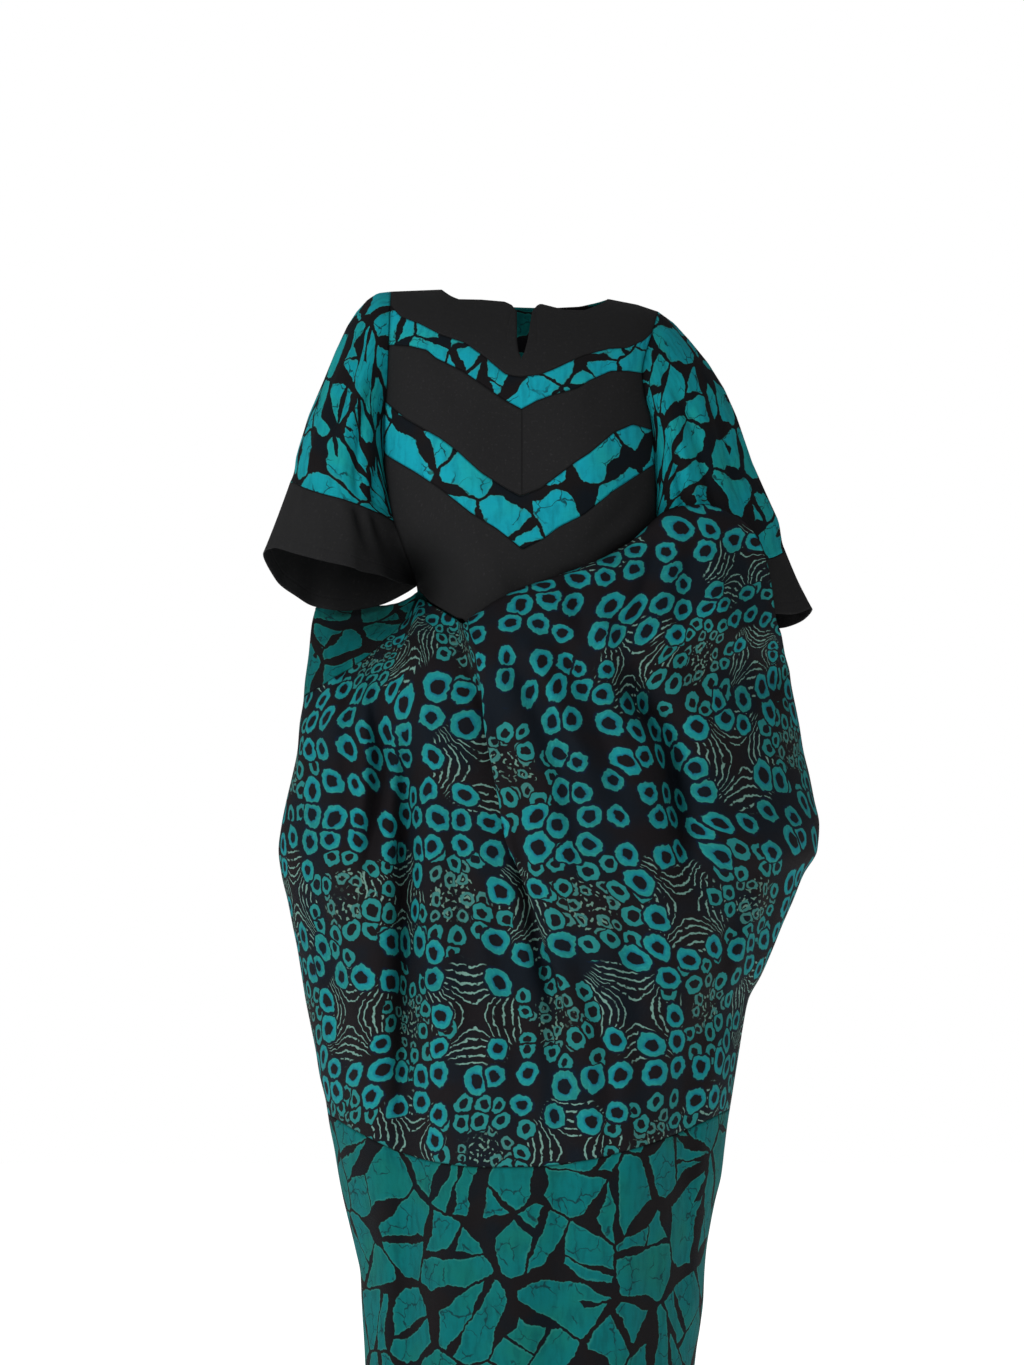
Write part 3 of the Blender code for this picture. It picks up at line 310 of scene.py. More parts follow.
# path across and up, half width, depth in: the main folds, as in the solids
FRONT_FOLDS = (
    ((110, -366, 113, -405, 136, -450, 159, -486, 168, -535, 178, -599, 185, -690), 24, 22),
    ((-130, -440, -120, -680, -122, -738, -129, -870, -128, -924, -128, -1040, -130, -1240), 26, 28),
    ((188, -760, 178, -945, 174, -1100, 172, -1220), 24, 20),
    ((-186, -380, -187, -560), 24, 12),
    ((-182, -880, -172, -1020, -168, -1180), 22, 12),
    ((20, -1010, 30, -1120, 34, -1300), 26, 10),
)
BACK_FOLDS = (
    ((-150, -420, -156, -800, -134, -1240), 30, 24),
    ((-70, -500, -78, -900, -66, -1330), 32, 18),
    ((10, -460, 4, -760, 12, -1060), 30, 24),
    ((84, -520, 92, -860, 80, -1300), 32, 20),
    ((160, -400, 168, -760, 136, -1180), 30, 24),
)
# half width, depth in (minus stands out), path across and up: creases of the front, then the back
FRONT_CREASES = (
    (9, 9.6, (110, -378, 117, -404, 136, -449, 159, -486, 168, -535, 178, -595, 185, -680)),
    (12, -11.2, (82, -335, 89, -362, 99, -394, 110, -432)),
    (9, 22, (-127, -432, -123, -491, -124, -605, -125, -724, -127, -853, -129, -972)),
    (10, 8, (157, -245, 146, -286, 130, -335, 123, -378)),
    (12, 8, (194, -235, 184, -292, 175, -378, 184, -443)),
    (13, 8, (232, -248, 243, -335, 240, -443, 246, -540)),
    (9, 8, (259, -292, 270, -378, 274, -464)),
    (10, -6.4, (216, -270, 218, -378, 207, -464)),
    (12, 8, (-50, -378, -37, -432, -16, -508, -5, -551)),
    (13, 9.6, (-30, -359, 9, -432, 43, -518, 65, -605, 76, -670)),
    (13, 8, (11, -340, 59, -410, 99, -508, 117, -605)),
    (10, -6.4, (-11, -356, 27, -421, 65, -497, 86, -572)),
    (14, 9.6, (54, -292, 63, -335, 71, -389)),
    (14, 9.6, (50, -659, 69, -740, 91, -810, 97, -886, 99, -1004)),
    (15, 9.6, (108, -637, 123, -745, 130, -853, 132, -983)),
    (15, 12.8, (246, -605, 227, -702, 199, -810, 188, -896)),
    (12, 12.8, (294, -605, 264, -686, 229, -778, 212, -864)),
    (10, -8, (270, -616, 244, -702, 212, -799)),
    (12, 12.8, (-188, -359, -184, -443, -185, -551, -181, -637)),
    (9, 9.6, (-214, -378, -218, -464, -225, -551)),
    (12, 12.8, (-160, -378, -153, -486, -159, -605, -156, -702)),
    (9, -6.4, (-173, -389, -168, -486, -172, -594)),
    (12, 9.6, (-229, -605, -207, -713, -190, -832, -181, -929)),
    (11, -9.6, (-104, -443, -104, -605, -97, -767, -99, -896)),
    (13, 9.6, (-76, -486, -67, -637, -54, -799, -50, -907)),
    (15, 8, (-35, -605, -17, -745, 0, -864, 4, -961)),
    (11, 6.4, (27, -756, 35, -853, 39, -940)),
    (12, 8, (-181, -929, -162, -1048, -153, -1199)),
    (12, 8, (-125, -929, -121, -1080, -119, -1253)),
    (17, 6.4, (-54, -929, -48, -1080, -48, -1242)),
    (18, 8, (43, -896, 45, -1069, 41, -1231)),
    (15, 8, (146, -907, 140, -1058, 136, -1210)),
    (11, 9.6, (186, -864, 179, -1026, 168, -1199)),
    (9, 15, (86, -348, 119, -432, 153, -481, 171, -551, 177, -616, 168, -670)),
    (9, 16, (-9, -551, 2, -616, 17, -691, 35, -778, 43, -853)),
    (9, 14, (-160, -432, -147, -518, -160, -583, -171, -659)),
    (9, 2.5, (-136, -151, -117, -194, -86, -240)),
    (10, 3.5, (-136, -243, -104, -292, -56, -330)),
    (9, 3, (-124, -275, -108, -319, -95, -337)),
    (11, 3.5, (143, -194, 108, -243, 59, -292)),
    (9, 3, (143, -248, 117, -292, 82, -335)),
    (12, 2, (-97, -43, -73, -97, -63, -151)),
    (12, 2, (106, -59, 86, -108, 76, -151)),
    (14, 2.5, (0, -292, -1, -346, 2, -400)),
    (11, -2, (-43, -270, -22, -319, 0, -378)),
)
BACK_CREASES = (
    (10, 7, (-130, -119, -125, -205, -114, -302)),
    (10, 7, (130, -140, 125, -227, 119, -313)),
    (16, 5.6, (-54, -97, -63, -194, -67, -292, -63, -378)),
    (15, 5.6, (43, -76, 54, -184, 56, -292, 50, -389)),
    (12, -4.2, (-5, -97, -6, -227, 0, -356)),
    (12, 8.4, (-117, -335, -132, -421, -134, -540)),
    (12, 8.4, (143, -339, 160, -432, 160, -551)),
    (11, 8.4, (-189, -356, -181, -464, -188, -583)),
    (11, 7, (-214, -378, -220, -486, -229, -594)),
    (12, 8.4, (214, -389, 222, -508, 225, -605)),
    (10, 8.4, (261, -400, 268, -508, 272, -594)),
    (14, 8.4, (-54, -421, -63, -551, -56, -691)),
    (12, -7, (-97, -443, -102, -572, -97, -713)),
    (15, 8.4, (43, -400, 50, -551, 43, -724, 45, -853)),
    (14, 7, (119, -551, 112, -691, 117, -832)),
    (12, 8.4, (-205, -659, -190, -767, -181, -896)),
    (12, 9.8, (270, -648, 240, -745, 218, -864)),
    (14, 7, (-22, -616, -15, -745, -17, -886)),
    (13, 8.4, (-160, -616, -149, -756, -138, -896, -134, -1048)),
    (13, 8.4, (184, -637, 177, -778, 168, -918, 162, -1058)),
    (15, 7, (-86, -832, -80, -961, -78, -1112)),
    (16, 7, (22, -853, 24, -983, 19, -1145)),
    (14, 7, (108, -832, 104, -983, 99, -1177)),
    (11, -5.6, (-32, -886, -30, -1015, -28, -1166)),
    (11, -5.6, (65, -886, 65, -1026, 63, -1177)),
)
# half width, depth in, path of turn and length (0 to 1 sleeve, 1 to 2 cuff)
SLEEVE_RIGHT_CREASES = (
    (13, 6.0, (0.20, 0.04, 0.24, 0.5, 0.22, 1.0, 0.20, 1.9)),
    (10, -4.0, (0.26, 0.10, 0.30, 0.6, 0.29, 1.3)),
    (12, 5.0, (0.33, 0.03, 0.36, 0.45, 0.37, 0.95)),
    (9, -3.0, (0.40, 0.25, 0.42, 0.9, 0.43, 1.8)),
    (12, 4.5, (0.10, 0.30, 0.13, 0.8, 0.14, 1.7)),
    (14, 5.5, (0.66, 0.05, 0.70, 0.6, 0.72, 1.5)),
    (11, 4.5, (0.80, 0.10, 0.83, 0.7, 0.84, 1.8)),
    (12, 4.0, (0.60, 0.35, 0.59, 1.0, 0.58, 1.7)),
)
SLEEVE_LEFT_CREASES = (
    (13, 6.5, (0.17, 0.05, 0.20, 0.5, 0.22, 1.0, 0.24, 1.9)),
    (11, 5.5, (0.30, 0.02, 0.32, 0.4, 0.36, 1.0, 0.38, 1.6)),
    (9, -3.5, (0.24, 0.12, 0.27, 0.7, 0.30, 1.4)),
    (12, 4.5, (0.42, 0.20, 0.43, 0.7, 0.45, 1.2)),
    (14, 5.0, (0.64, 0.04, 0.68, 0.5, 0.70, 1.4)),
    (11, 5.0, (0.78, 0.12, 0.80, 0.7, 0.82, 1.7)),
    (12, 3.5, (0.57, 0.45, 0.57, 1.0, 0.56, 1.8)),
)


def eased(share: Amount) -> Amount:
    """Round both ends of a share that runs from 0 to 1."""
    return share * share * (3.0 - 2.0 * share)


def smooth_step(value: float) -> float:
    """Hold a number between 0 and 1 and ease it."""
    return eased(min(1.0, max(0.0, value)))


def falling(w: float, start: float, reach: float) -> float:
    """Ease from 0 to 1 as a height falls below a start."""
    return smooth_step((start - w) / reach)


def between(first: Amount, second: Amount, share: float) -> Amount:
    """Give what lies at a share of the way from one number, point or array to another."""
    return first + (second - first) * share


def fullness(out: float, power: float = ROUND_FRONT) -> float:
    """Give how full a rounded cloth is at a share out from its middle."""
    return math.sqrt(max(0.0, 1.0 - out ** power))


def metres(table: Table) -> Line:
    """Turn a table from millimetres to metres."""
    return [tuple(v * MM for v in row) for row in table]


def line(table: Table) -> Line:
    """Give across and up of a table's points in metres."""
    return [row[:2] for row in metres(table)]


def along(points: Line, share: float) -> tuple[float, ...]:
    """Walk along a line.

    Args:
        points: its points.
        share: how much of its length is walked.

    Returns:
        The point that is reached.
    """
    steps = [math.dist(a, b) for a, b in zip(points, points[1:])]
    left = share * sum(steps)
    for a, b, step in zip(points, points[1:], steps):
        if left <= step or b is points[-1]:
            return tuple(between(p, q, min(1.0, left / step)) for p, q in zip(a, b))
        left -= step
    return tuple(points[-1])


def hem_up(depth: float) -> float:
    """Give the height on the reading plane of the level hem at some depth."""
    return SIGHT_UP + (HEM_LEVEL - SIGHT_UP) / (1.0 + depth / SIGHT_DISTANCE)


class Track:
    """One column of a table read along its first, straight or rounded between the rows."""

    def __init__(self, table: Table, value: int = 1, rounded: bool = True) -> None:
        """Sort the rows and work out a slope at each.

        Args:
            table: rows in metres.
            value: column that is given.
            rounded: whether the curve is smooth at its rows.
        """
        rows = sorted((row[0], row[value]) for row in table)
        self.keys = [row[0] for row in rows]
        self.values = [row[1] for row in rows]
        self.rounded = rounded
        rise = [(b[1] - a[1]) / (b[0] - a[0]) for a, b in zip(rows, rows[1:])]
        inner = [0.0 if a * b <= 0.0 else 2.0 * a * b / (a + b) for a, b in zip(rise, rise[1:])]
        self.slope = [rise[0], *inner, rise[-1]]

    def __call__(self, at: float) -> float:
        """Read the column.

        Args:
            at: number in the first column.

        Returns:
            The value there, held beyond both ends.
        """
        if at <= self.keys[0]:
            return self.values[0]
        if at >= self.keys[-1]:
            return self.values[-1]
        i = bisect.bisect_right(self.keys, at) - 1
        span = self.keys[i + 1] - self.keys[i]
        t = (at - self.keys[i]) / span
        low, high = self.values[i:i + 2]
        if not self.rounded:
            return between(low, high, t)
        turns = t * (1.0 - t) ** 2 * self.slope[i] - t * t * (1.0 - t) * self.slope[i + 1]
        return between(low, high, eased(t)) + span * turns


class Fold:
    """One soft trough that runs down a path, as in the solids."""

    FADE_TOP = 0.09
    FADE_FOOT = 0.14

    def __init__(self, path: Sequence[float], half_width: float, depth: float) -> None:
        """Keep the path as a track from up to across; all in millimetres."""
        rows = [(path[i + 1] * MM, path[i] * MM) for i in range(0, len(path), 2)]
        self.across = Track(rows)
        self.low = min(row[0] for row in rows)
        self.high = max(row[0] for row in rows)
        self.half = half_width * MM
        self.depth = depth * MM

    def at(self, u: float, w: float) -> float:
        """Give how far the trough lies in at a point."""
        if w >= self.high or w <= self.low:
            return 0.0
        fade = min(1.0, (self.high - w) / self.FADE_TOP) * min(1.0, (w - self.low) / self.FADE_FOOT)
        off = (u - self.across(w)) / self.half
        return self.depth * smooth_step(fade) * math.exp(-off * off)


class Creases:
    """A set of fine creases, each a soft trough or ridge along a path."""

    def __init__(self, table: Sequence[tuple[float, float, Sequence[float]]], unit: float,
                 spread: float) -> None:
        """Keep the creases in path units.

        Args:
            table: rows of half width and depth in millimetres, and path.
            unit: what one path number stands for.
            spread: how many path units one metre of half width is.
        """
        self.rows = [(half * MM * spread, depth * MM, np.array(path).reshape(-1, 2) * unit)
                     for half, depth, path in table]

    def at(self, a: np.ndarray, b: np.ndarray, stretch: float = 1.0) -> np.ndarray:
        """Add up the creases at many points.

        Args:
            a: first coordinate of each point.
            b: second coordinate of each point.
            stretch: length of the second coordinate's unit in units of the first.

        Returns:
            How far in the cloth lies at each point.
        """
        total = np.zeros_like(a)
        for half, depth, path in self.rows:
            near = np.full_like(a, FAR)
            walked = np.zeros_like(a)
            lengths = np.hypot(np.diff(path[:, 0]), np.diff(path[:, 1]) * stretch)
            done = 0.0
            for (pa, pb), (qa, qb), length in zip(path, path[1:], lengths):
                da, db = qa - pa, (qb - pb) * stretch
                t = np.clip(((a - pa) * da + (b - pb) * stretch * db) / length ** 2, 0.0, 1.0)
                away = np.hypot(a - pa - da * t, (b - pb) * stretch - db * t)
                walked = np.where(away < near, (done + t * length) / lengths.sum(), walked)
                near = np.minimum(near, away)
                done += length
            ends = np.clip(np.minimum(walked / CREASE_START, (1.0 - walked) / CREASE_END), 0.0, 1.0)
            total += depth * eased(ends) * np.exp(-(near / half) ** 2)
        return total


class Zone(Enum):
    """The three stretches of the front below the waist."""

    RIGHT = "right of the overlap fold"
    FOLD = "overlap fold"
    LEFT = "left of the overlap fold"


class RobeForm:
    """The form of the robe: how deep the cloth lies at each point of the reading plane."""

    def __init__(self) -> None:
        """Read the shape tables."""
        self.arm_right, self.arm_left = (Track(metres(t)) for t in (ARMHOLE_RIGHT, ARMHOLE_LEFT))
        self.side_right, self.side_left = (Track(metres(t)) for t in (BODY_OUTLINE_RIGHT, BODY_OUTLINE_LEFT))
        self.under, self.over = (Track(metres(t)) for t in (FRONT_UNDER, FRONT_OVER))
        self.front_seam, self.back_seam = (Track(metres(t)) for t in (FRONT_SEAM, BACK_SEAM))
        self.crest = Track(metres(CREST))
        self.behind = Track(metres(BACK_DEPTH))
        self.shoulder = Track(metres(SHOULDER), rounded=False)
        self.ridges = {side: [Track(metres(table), value) for value in (1, 2)]
                       for side, table in ((-1, RIDGE_RIGHT), (1, RIDGE_LEFT))}
        self.ridge_lines = {-1: line(RIDGE_RIGHT), 1: line(RIDGE_LEFT)[::-1]}
        self.wedge_line = line(WEDGE_EDGE)
        self.body_top = line(WEDGE_EDGE[-1:] + BODY_TOP_RIGHT)
        self.lip = metres(LIP)
        self.lip_line = line(LIP)[:LIP_POINTS]
        self.front_folds = [Fold(*row) for row in FRONT_FOLDS]
        self.back_folds = [Fold(*row) for row in BACK_FOLDS]
        self.front_creases = Creases(FRONT_CREASES, MM, 1.0)
        self.back_creases = Creases(BACK_CREASES, MM, 1.0)

    @staticmethod
    def let_out(u: float, w: float) -> float:
        """Give how much of its depth the cloth keeps near the underarm corners, where it is flat."""
        reach = min((u - a) ** 2 + (w - b) ** 2 for a, b in (UNDERARM_RIGHT, UNDERARM_LEFT))
        return 1.0 - UNDERARM_HOLD * math.exp(-reach / UNDERARM_ROUND ** 2)

    def torso(self, u: float, w: float, back: bool = False) -> float:
        """Work out the upper body.

        Args:
            u: across.
            w: up.
            back: whether it is the back.

        Returns:
            The distance from the middle plane.
        """
        drop = 1.0 - min(1.0, max(0.0, (self.shoulder(u) - w) / SHOULDER_ROUND))
        left, right = self.arm_left(w), self.arm_right(w)
        out = min(1.0, abs(2.0 * (u - right) / (left - right) - 1.0))
        full = (1.0 - out ** ROUND_FRONT) ** TORSO_ROUND
        if back:
            shape = between(ARM_BACK, self.behind(w), full)
        else:
            shape = between(ARM_FRONT, CHEST + WAIST_MORE * smooth_step(-w / WAIST_DROP), full)
            for a, b in CHEST_PLACES:
                shape += CHEST_FULL * math.exp(-((u - a) / CHEST_WIDE) ** 2 - ((w - b) / CHEST_TALL) ** 2)
        return fullness(drop, 2.0) * shape * self.let_out(u, w)

    def wing(self, u: float, w: float) -> tuple[float, float, float]:
        """Follow the fold under an arm and the cloth that hangs from it.

        Args:
            u: across.
            w: up.

        Returns:
            The fold's depth, how far the cloth has left it from 0 to 1, and how far front and back part.
        """
        if u < UNDERARM_RIGHT[0]:
            inner, reach, ridge = UNDERARM_RIGHT[0] - u, WING_REACH, self.ridges[-1]
        else:
            inner, ridge = u - UNDERARM_LEFT[0], self.ridges[1]
            reach = WING_REACH - WING_REACH_LESS * smooth_step(inner / WING_WIDE)
        drop = max(0.0, ridge[0](u) - w)
        near = 1.0 - math.exp(-(drop / UNDERARM_ROUND) ** 2)
        far = math.sin(0.5 * math.pi * min(1.0, drop / reach))
        parting = CORNER_OPEN * (1.0 - smooth_step(inner / CORNER_WIDE))
        return ridge[1](u), between(near, far, smooth_step(inner / WING_NEAR)), parting

    def folded(self, u: float, w: float, out: float, bulge: float, back: bool = False) -> float:
        """Press the main folds into a bulge, less at its outer edge."""
        folds = self.back_folds if back else self.front_folds
        return bulge - sum(fold.at(u, w) for fold in folds) * min(1.0, EDGE_CALM * (1.0 - out))

    def settled(self, u: float, w: float, bulge: float, low: float, back: bool = False) -> float:
        """Join the loose cloth to the upper body, or to the fold under an arm.

        Args:
            u: across.
            w: up.
            bulge: how far the loose cloth stands out without its folds.
            low: the same with its folds.
            back: whether it is the back.

        Returns:
            The depth.
        """
        sign = 1.0 if back else -1.0
        if w < LOOSE_UP:
            return sign * low
        loose = falling(w, JOIN_UP, JOIN_BACK if back else JOIN_FRONT)
        if UNDERARM_RIGHT[0] <= u <= (UNDERARM_LEFT[0] if back else FAR):
            return sign * between(self.torso(u, w, back), low * self.let_out(u, w), loose)
        depth, away, parting = self.wing(u, w)
        full = min(between(ARM_BACK if back else ARM_FRONT, low, loose), WING_SLACK + bulge)
        return between(depth + sign * parting, sign * full, away)

    def front_under(self, u: float, w: float) -> float:
        """Work out the lower front layer: upper body, right side and skirt.

        Args:
            u: across.
            w: up.

        Returns:
            The depth.
        """
        crest = self.crest(w)
        side = self.side_right(w) if u < crest else self.side_left(w)
        out = min(1.0, abs((u - crest) / (side - crest)))
        bulge = self.under(w) * fullness(out)
        return self.settled(u, w, bulge, self.folded(u, w, out, bulge))

    def back_depth(self, u: float, w: float) -> float:
        """Give the depth of the back below the shoulders."""
        right, left = self.side_right(w), self.side_left(w)
        out = min(1.0, abs(2.0 * (u - 0.5 * (left + right)) / (left - right)))
        bulge = self.behind(w) * fullness(out, ROUND_BACK)
        return self.settled(u, w, bulge, self.folded(u, w, out, bulge, True), True)

    def lip_near(self, u: float, w: float) -> tuple[float, float]:
        """Look for the nearest point on the lip of the raised cloth.

        Args:
            u: across.
            w: up.

        Returns:
            Its distance on the reading plane, and its depth.
        """
        best = (FAR, 0.0)
        for a, b in zip(self.lip, self.lip[1:]):
            du, dw = b[0] - a[0], b[1] - a[1]
            t = min(1.0, max(0.0, ((u - a[0]) * du + (w - a[1]) * dw) / (du * du + dw * dw)))
            away = math.hypot(u - a[0] - du * t, w - a[1] - dw * t)
            best = min(best, (away, between(a[2], b[2], t)), key=lambda found: found[0])
        return best

    def front_over(self, u: float, w: float) -> float:
        """Work out the raised layer that lies over the left sleeve.

        Args:
            u: across.
            w: up.

        Returns:
            The depth.
        """
        crest = self.crest(w)
        out = min(1.0, max(0.0, (u - crest) / (self.side_left(w) - crest)))
        edge = OVER_EDGE * smooth_step((w - OVER_EDGE_UP) / OVER_EDGE_EASE)
        full = -self.folded(u, w, out, between(edge, self.over(w), fullness(out)))
        away, lip = self.lip_near(u, w)
        if u < LIP_TORSO_END:
            lip = min(lip, -self.torso(u, w) - LIP_CLEAR)
        return between(lip, full, fullness(1.0 - min(1.0, away / LIP_ROUND), 2.0))

    def share_track(self, table: Table) -> Track:
        """Turn a panel edge into a track.

        Args:
            table: across and up of its points.

        Returns:
            Its height by the share of the way from the centre line to an armhole.
        """
        rows = []
        for u, w in metres(table):
            left = u > CENTRE
            arm = self.arm_left(w) if left else self.arm_right(w)
            rows.append((abs((u - CENTRE) / (arm - CENTRE)) * (1.0 if left else -1.0), w))
        return Track(rows, rounded=False)

    def torso_across(self, share: float, w: float) -> float:
        """Give the place across of a share off the centre line at a height."""
        if share < 0.0:
            return between(CENTRE, self.arm_right(w) + ARMHOLE_TORSO, -share)
        return between(CENTRE, self.arm_left(w) - ARMHOLE_TORSO, share)

    def on_shoulder(self, u: float, w: float) -> float:
        """Put a height that is close to the shoulder line onto it."""
        top = self.shoulder(u)
        return top if abs(top - w) < SHOULDER_CATCH else w

    def skirt_across(self, share: float, w: float) -> float:
        """Give the place across of a share from the right outline to the left one."""
        return between(self.side_right(w), self.side_left(w), share)

    def zone_across(self, zone: Zone, part: float, w: float) -> float:
        """Place a column of the front below the waist.

        Args:
            zone: stretch that it lies in.
            part: where in it, from -1 to 1 in the fold and from 0 to 1 beside it.
            w: height.

        Returns:
            The place across.
        """
        crest = self.crest(w)
        half = FOLD_HALF + FOLD_MORE * falling(w, FOLD_UP, FOLD_OPENS)
        if zone is Zone.RIGHT:
            return between(self.side_right(w), crest - half, 1.0 - math.cos(0.5 * math.pi * part))
        if zone is Zone.LEFT:
            return between(crest + half, self.side_left(w), math.sin(0.5 * math.pi * part))
        stands = min(1.0, max(0.0, (self.over(w) - self.under(w)) / LAP_STEP))
        lap = LAP * stands * falling(w, LAP_UP, LAP_OPENS)
        return crest + half * (part - lap * math.sin(math.pi * part))

    def front_seam_up(self, zone: Zone, part: float, off: float) -> float:
        """Find where a column of the front meets the border's seam, and stop short of it."""
        up = SEAM_GUESS
        for _ in range(ROUNDS):
            up = self.front_seam(self.zone_across(zone, part, up)) + off
        return up


FORM = RobeForm()


class Held(Enum):
    DRAPED = "draped"
    HUNG = "hung"


class Side(Enum):
    """Which creases a piece takes, and which way is outwards there."""

    NONE = 0
    FRONT = -1
    BACK = 1


def running(steps: np.ndarray, axis: int) -> np.ndarray:
    """Add up steps along an axis, from zero."""
    return np.insert(np.cumsum(steps, axis=axis), 0, 0.0, axis=axis)


def evened(steps: np.ndarray, axis: int) -> np.ndarray:
    """Average steps with their neighbours, so that a print flows past folds.

    Args:
        steps: rows by columns of lengths.
        axis: along which they are averaged.

    Returns:
        The evened steps.
    """
    reach = max(1, steps.shape[axis] // EVENED_PART)
    padded = np.pad(steps, [(reach, reach) if k == axis else (0, 0) for k in (0, 1)], mode="edge")
    windows = np.lib.stride_tricks.sliding_window_view(padded, 2 * reach + 1, axis=axis)
    return windows.mean(axis=-1)


@dataclass
class Sheet:
    """One grid of cloth points.

    Attributes:
        spots: rows by columns by across, up and depth on the reading plane.
        places: the same points in space, filled in when the sheet is laid.
    """

    spots: np.ndarray
    places: np.ndarray | None = None

    @staticmethod
    def sampled(columns: int, rows: int, spot: Shape) -> "Sheet":
        """Sample a shape.

        Args:
            columns: how many cells across.
            rows: how many cells down.
            spot: gives across, up and depth from two shares.

        Returns:
            The sheet of points.
        """
        grid = [[spot(c / columns, r / rows) for c in range(columns + 1)] for r in range(rows + 1)]
        return Sheet(np.array(grid, dtype=float))

    def crease(self, side: Side) -> None:
        """Press the creases of one side into the sheet."""
        if side is Side.NONE:
            return
        u, w, y = np.moveaxis(self.spots, -1, 0)
        creases = FORM.front_creases if side is Side.FRONT else FORM.back_creases
        inward = creases.at(u, w) * np.clip(np.abs(y) / CREASE_DEPTH, 0.0, 1.0)
        self.spots[..., 2] = y - side.value * inward

    def lay(self) -> None:
        """Move the points along the line of sight to their depth."""
        u, w, y = np.moveaxis(self.spots, -1, 0)
        scale = 1.0 + y / SIGHT_DISTANCE
        self.places = np.stack((between(SIGHT_ACROSS, u, scale), y, between(SIGHT_UP, w, scale)), axis=-1)

    def lengths(self) -> tuple[np.ndarray, np.ndarray]:
        """Give the running length across each row and down each column."""
        across, down = (np.linalg.norm(np.diff(self.places, axis=axis), axis=-1) for axis in (1, 0))
        return running(across, 1), running(down, 0)


@dataclass
class Measures:
    """Print coordinates and edge distances of one sheet, in metres.

    Attributes:
        u: cloth across.
        v: cloth up.
        margin: distance to a sewn edge.
        hem: distance to a free edge.
    """

    u: np.ndarray
    v: np.ndarray
    margin: np.ndarray
    hem: np.ndarray


@dataclass
class ClothPiece:
    """One cut piece of cloth, laid on the form of its solid.

    Attributes:
        node: solid that the piece stands for.
        finish: look of its cloth.
        flat: width and length of its cut in metres; not used.
        area: flat area of the cut in square metres; not used.
        held: how the robe holds it; not used.
        cells: how many cells across and down.
        side: which creases it takes.
        middle: share of the columns that the print is measured from.
        start: where on the printed cloth the piece was cut, in metres.
        hemmed: whether its lower edge is free.
    """

    node: str
    finish: "Finish"
    flat: tuple[float, float]
    area: float
    held: Held = Held.DRAPED
    cells: tuple[int, int] = (96, 32)
    side: Side = Side.FRONT
    middle: float = 0.5
    start: tuple[float, float] = (0.0, 0.0)
    hemmed: bool = False

    def sheets(self, columns: int, rows: int) -> list[Sheet]:
        """Sample the sheets of this piece; one, unless a piece says otherwise."""
        return [Sheet.sampled(columns, rows, self.spot)]

    def spot(self, s: float, t: float) -> Sequence[float]:
        """Give across, up and depth from the shares across and down."""
        raise NotImplementedError

    def measures(self, sheet: Sheet, first: bool) -> Measures:
        """Measure the print coordinates of a sheet.

        Args:
            sheet: a laid sheet.
            first: whether it is the first sheet of the piece.

        Returns:
            The coordinates and edge distances.
        """
        x, y, z = np.moveaxis(sheet.places, -1, 0)
        u = running(evened(np.hypot(np.diff(x, axis=1), np.diff(y, axis=1)), 0), 1)
        at = round(self.middle * (x.shape[1] - 1))
        u = u - u[:, at:at + 1] + x[:, at:at + 1]
        v = running(evened(np.hypot(np.diff(z, axis=0), np.diff(y, axis=0)), 1), 0)
        v = v[-1:] - v + z[-1:] if first else z[:1] - v
        across, down = sheet.lengths()
        sewn, foot = (across, across[:, -1:] - across, down), down[-1:] - down
        if self.hemmed:
            return Measures(u, v, np.minimum.reduce(sewn), foot)
        return Measures(u, v, np.minimum.reduce((*sewn, foot)), np.ones_like(u))

    def build(self) -> None:
        """Make the piece, give it its wall and material, attach it to the root and hide its solid."""
        columns, rows = (n for n in self.cells)
        parts = []
        for k, sheet in enumerate(self.sheets(columns, rows)):
            sheet.crease(self.side)
            if sheet.places is None:
                sheet.lay()
            parts.append(self.mesh(sheet, self.measures(sheet, k == 0)))
        piece = joined(parts)
        piece.name = self.node + "_cloth"
        piece.data.name = piece.name
        finish_wall(piece)
        piece.data.materials.clear()
        piece.data.materials.append(self.finish.material())
        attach(piece, "root")
        self.node + "_cloth"
        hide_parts(self.node)
        LOG.info("%s: %d faces", piece.name, len(piece.data.polygons))

    def mesh(self, sheet: Sheet, measured: Measures) -> bpy.types.Object:
        """Make a grid and move its points onto a sheet.

        Args:
            sheet: a laid sheet.
            measured: its print coordinates and edge distances.

        Returns:
            The grid object with its print map and edge attributes.
        """
        rows, columns = (n - 1 for n in sheet.places.shape[:2])
        bpy.ops.object.select_all(action="DESELECT")
        bpy.ops.mesh.primitive_grid_add(x_subdivisions=columns, y_subdivisions=rows, size=1.0)
        made = bpy.context.object
        data = made.data
        flat = np.empty(len(data.vertices) * 3)
        data.vertices.foreach_get("co", flat)
        flat = flat.reshape(-1, 3)
        column = np.rint((flat[:, 0] + 0.5) * columns).astype(int)
        row = np.rint((0.5 - flat[:, 1]) * rows).astype(int)
        data.vertices.foreach_set("co", sheet.places[row, column].ravel())
        for name, values in (("margin", measured.margin), ("hem", measured.hem)):
            layer = data.attributes.new(name, "FLOAT", "POINT")
            layer.data.foreach_set("value", values[row, column].astype(np.float32))
        corners = np.empty(len(data.loops), dtype=np.int32)
        data.loops.foreach_get("vertex_index", corners)
        prints = (values[row, column][corners] for values in (measured.u, measured.v))
        pairs = np.stack(tuple(prints), axis=-1) + self.start
        while data.uv_layers:
            data.uv_layers.remove(data.uv_layers[0])
        data.uv_layers.new(name="cloth").data.foreach_set("uv", pairs.astype(np.float32).ravel())
        data.update()
        return made


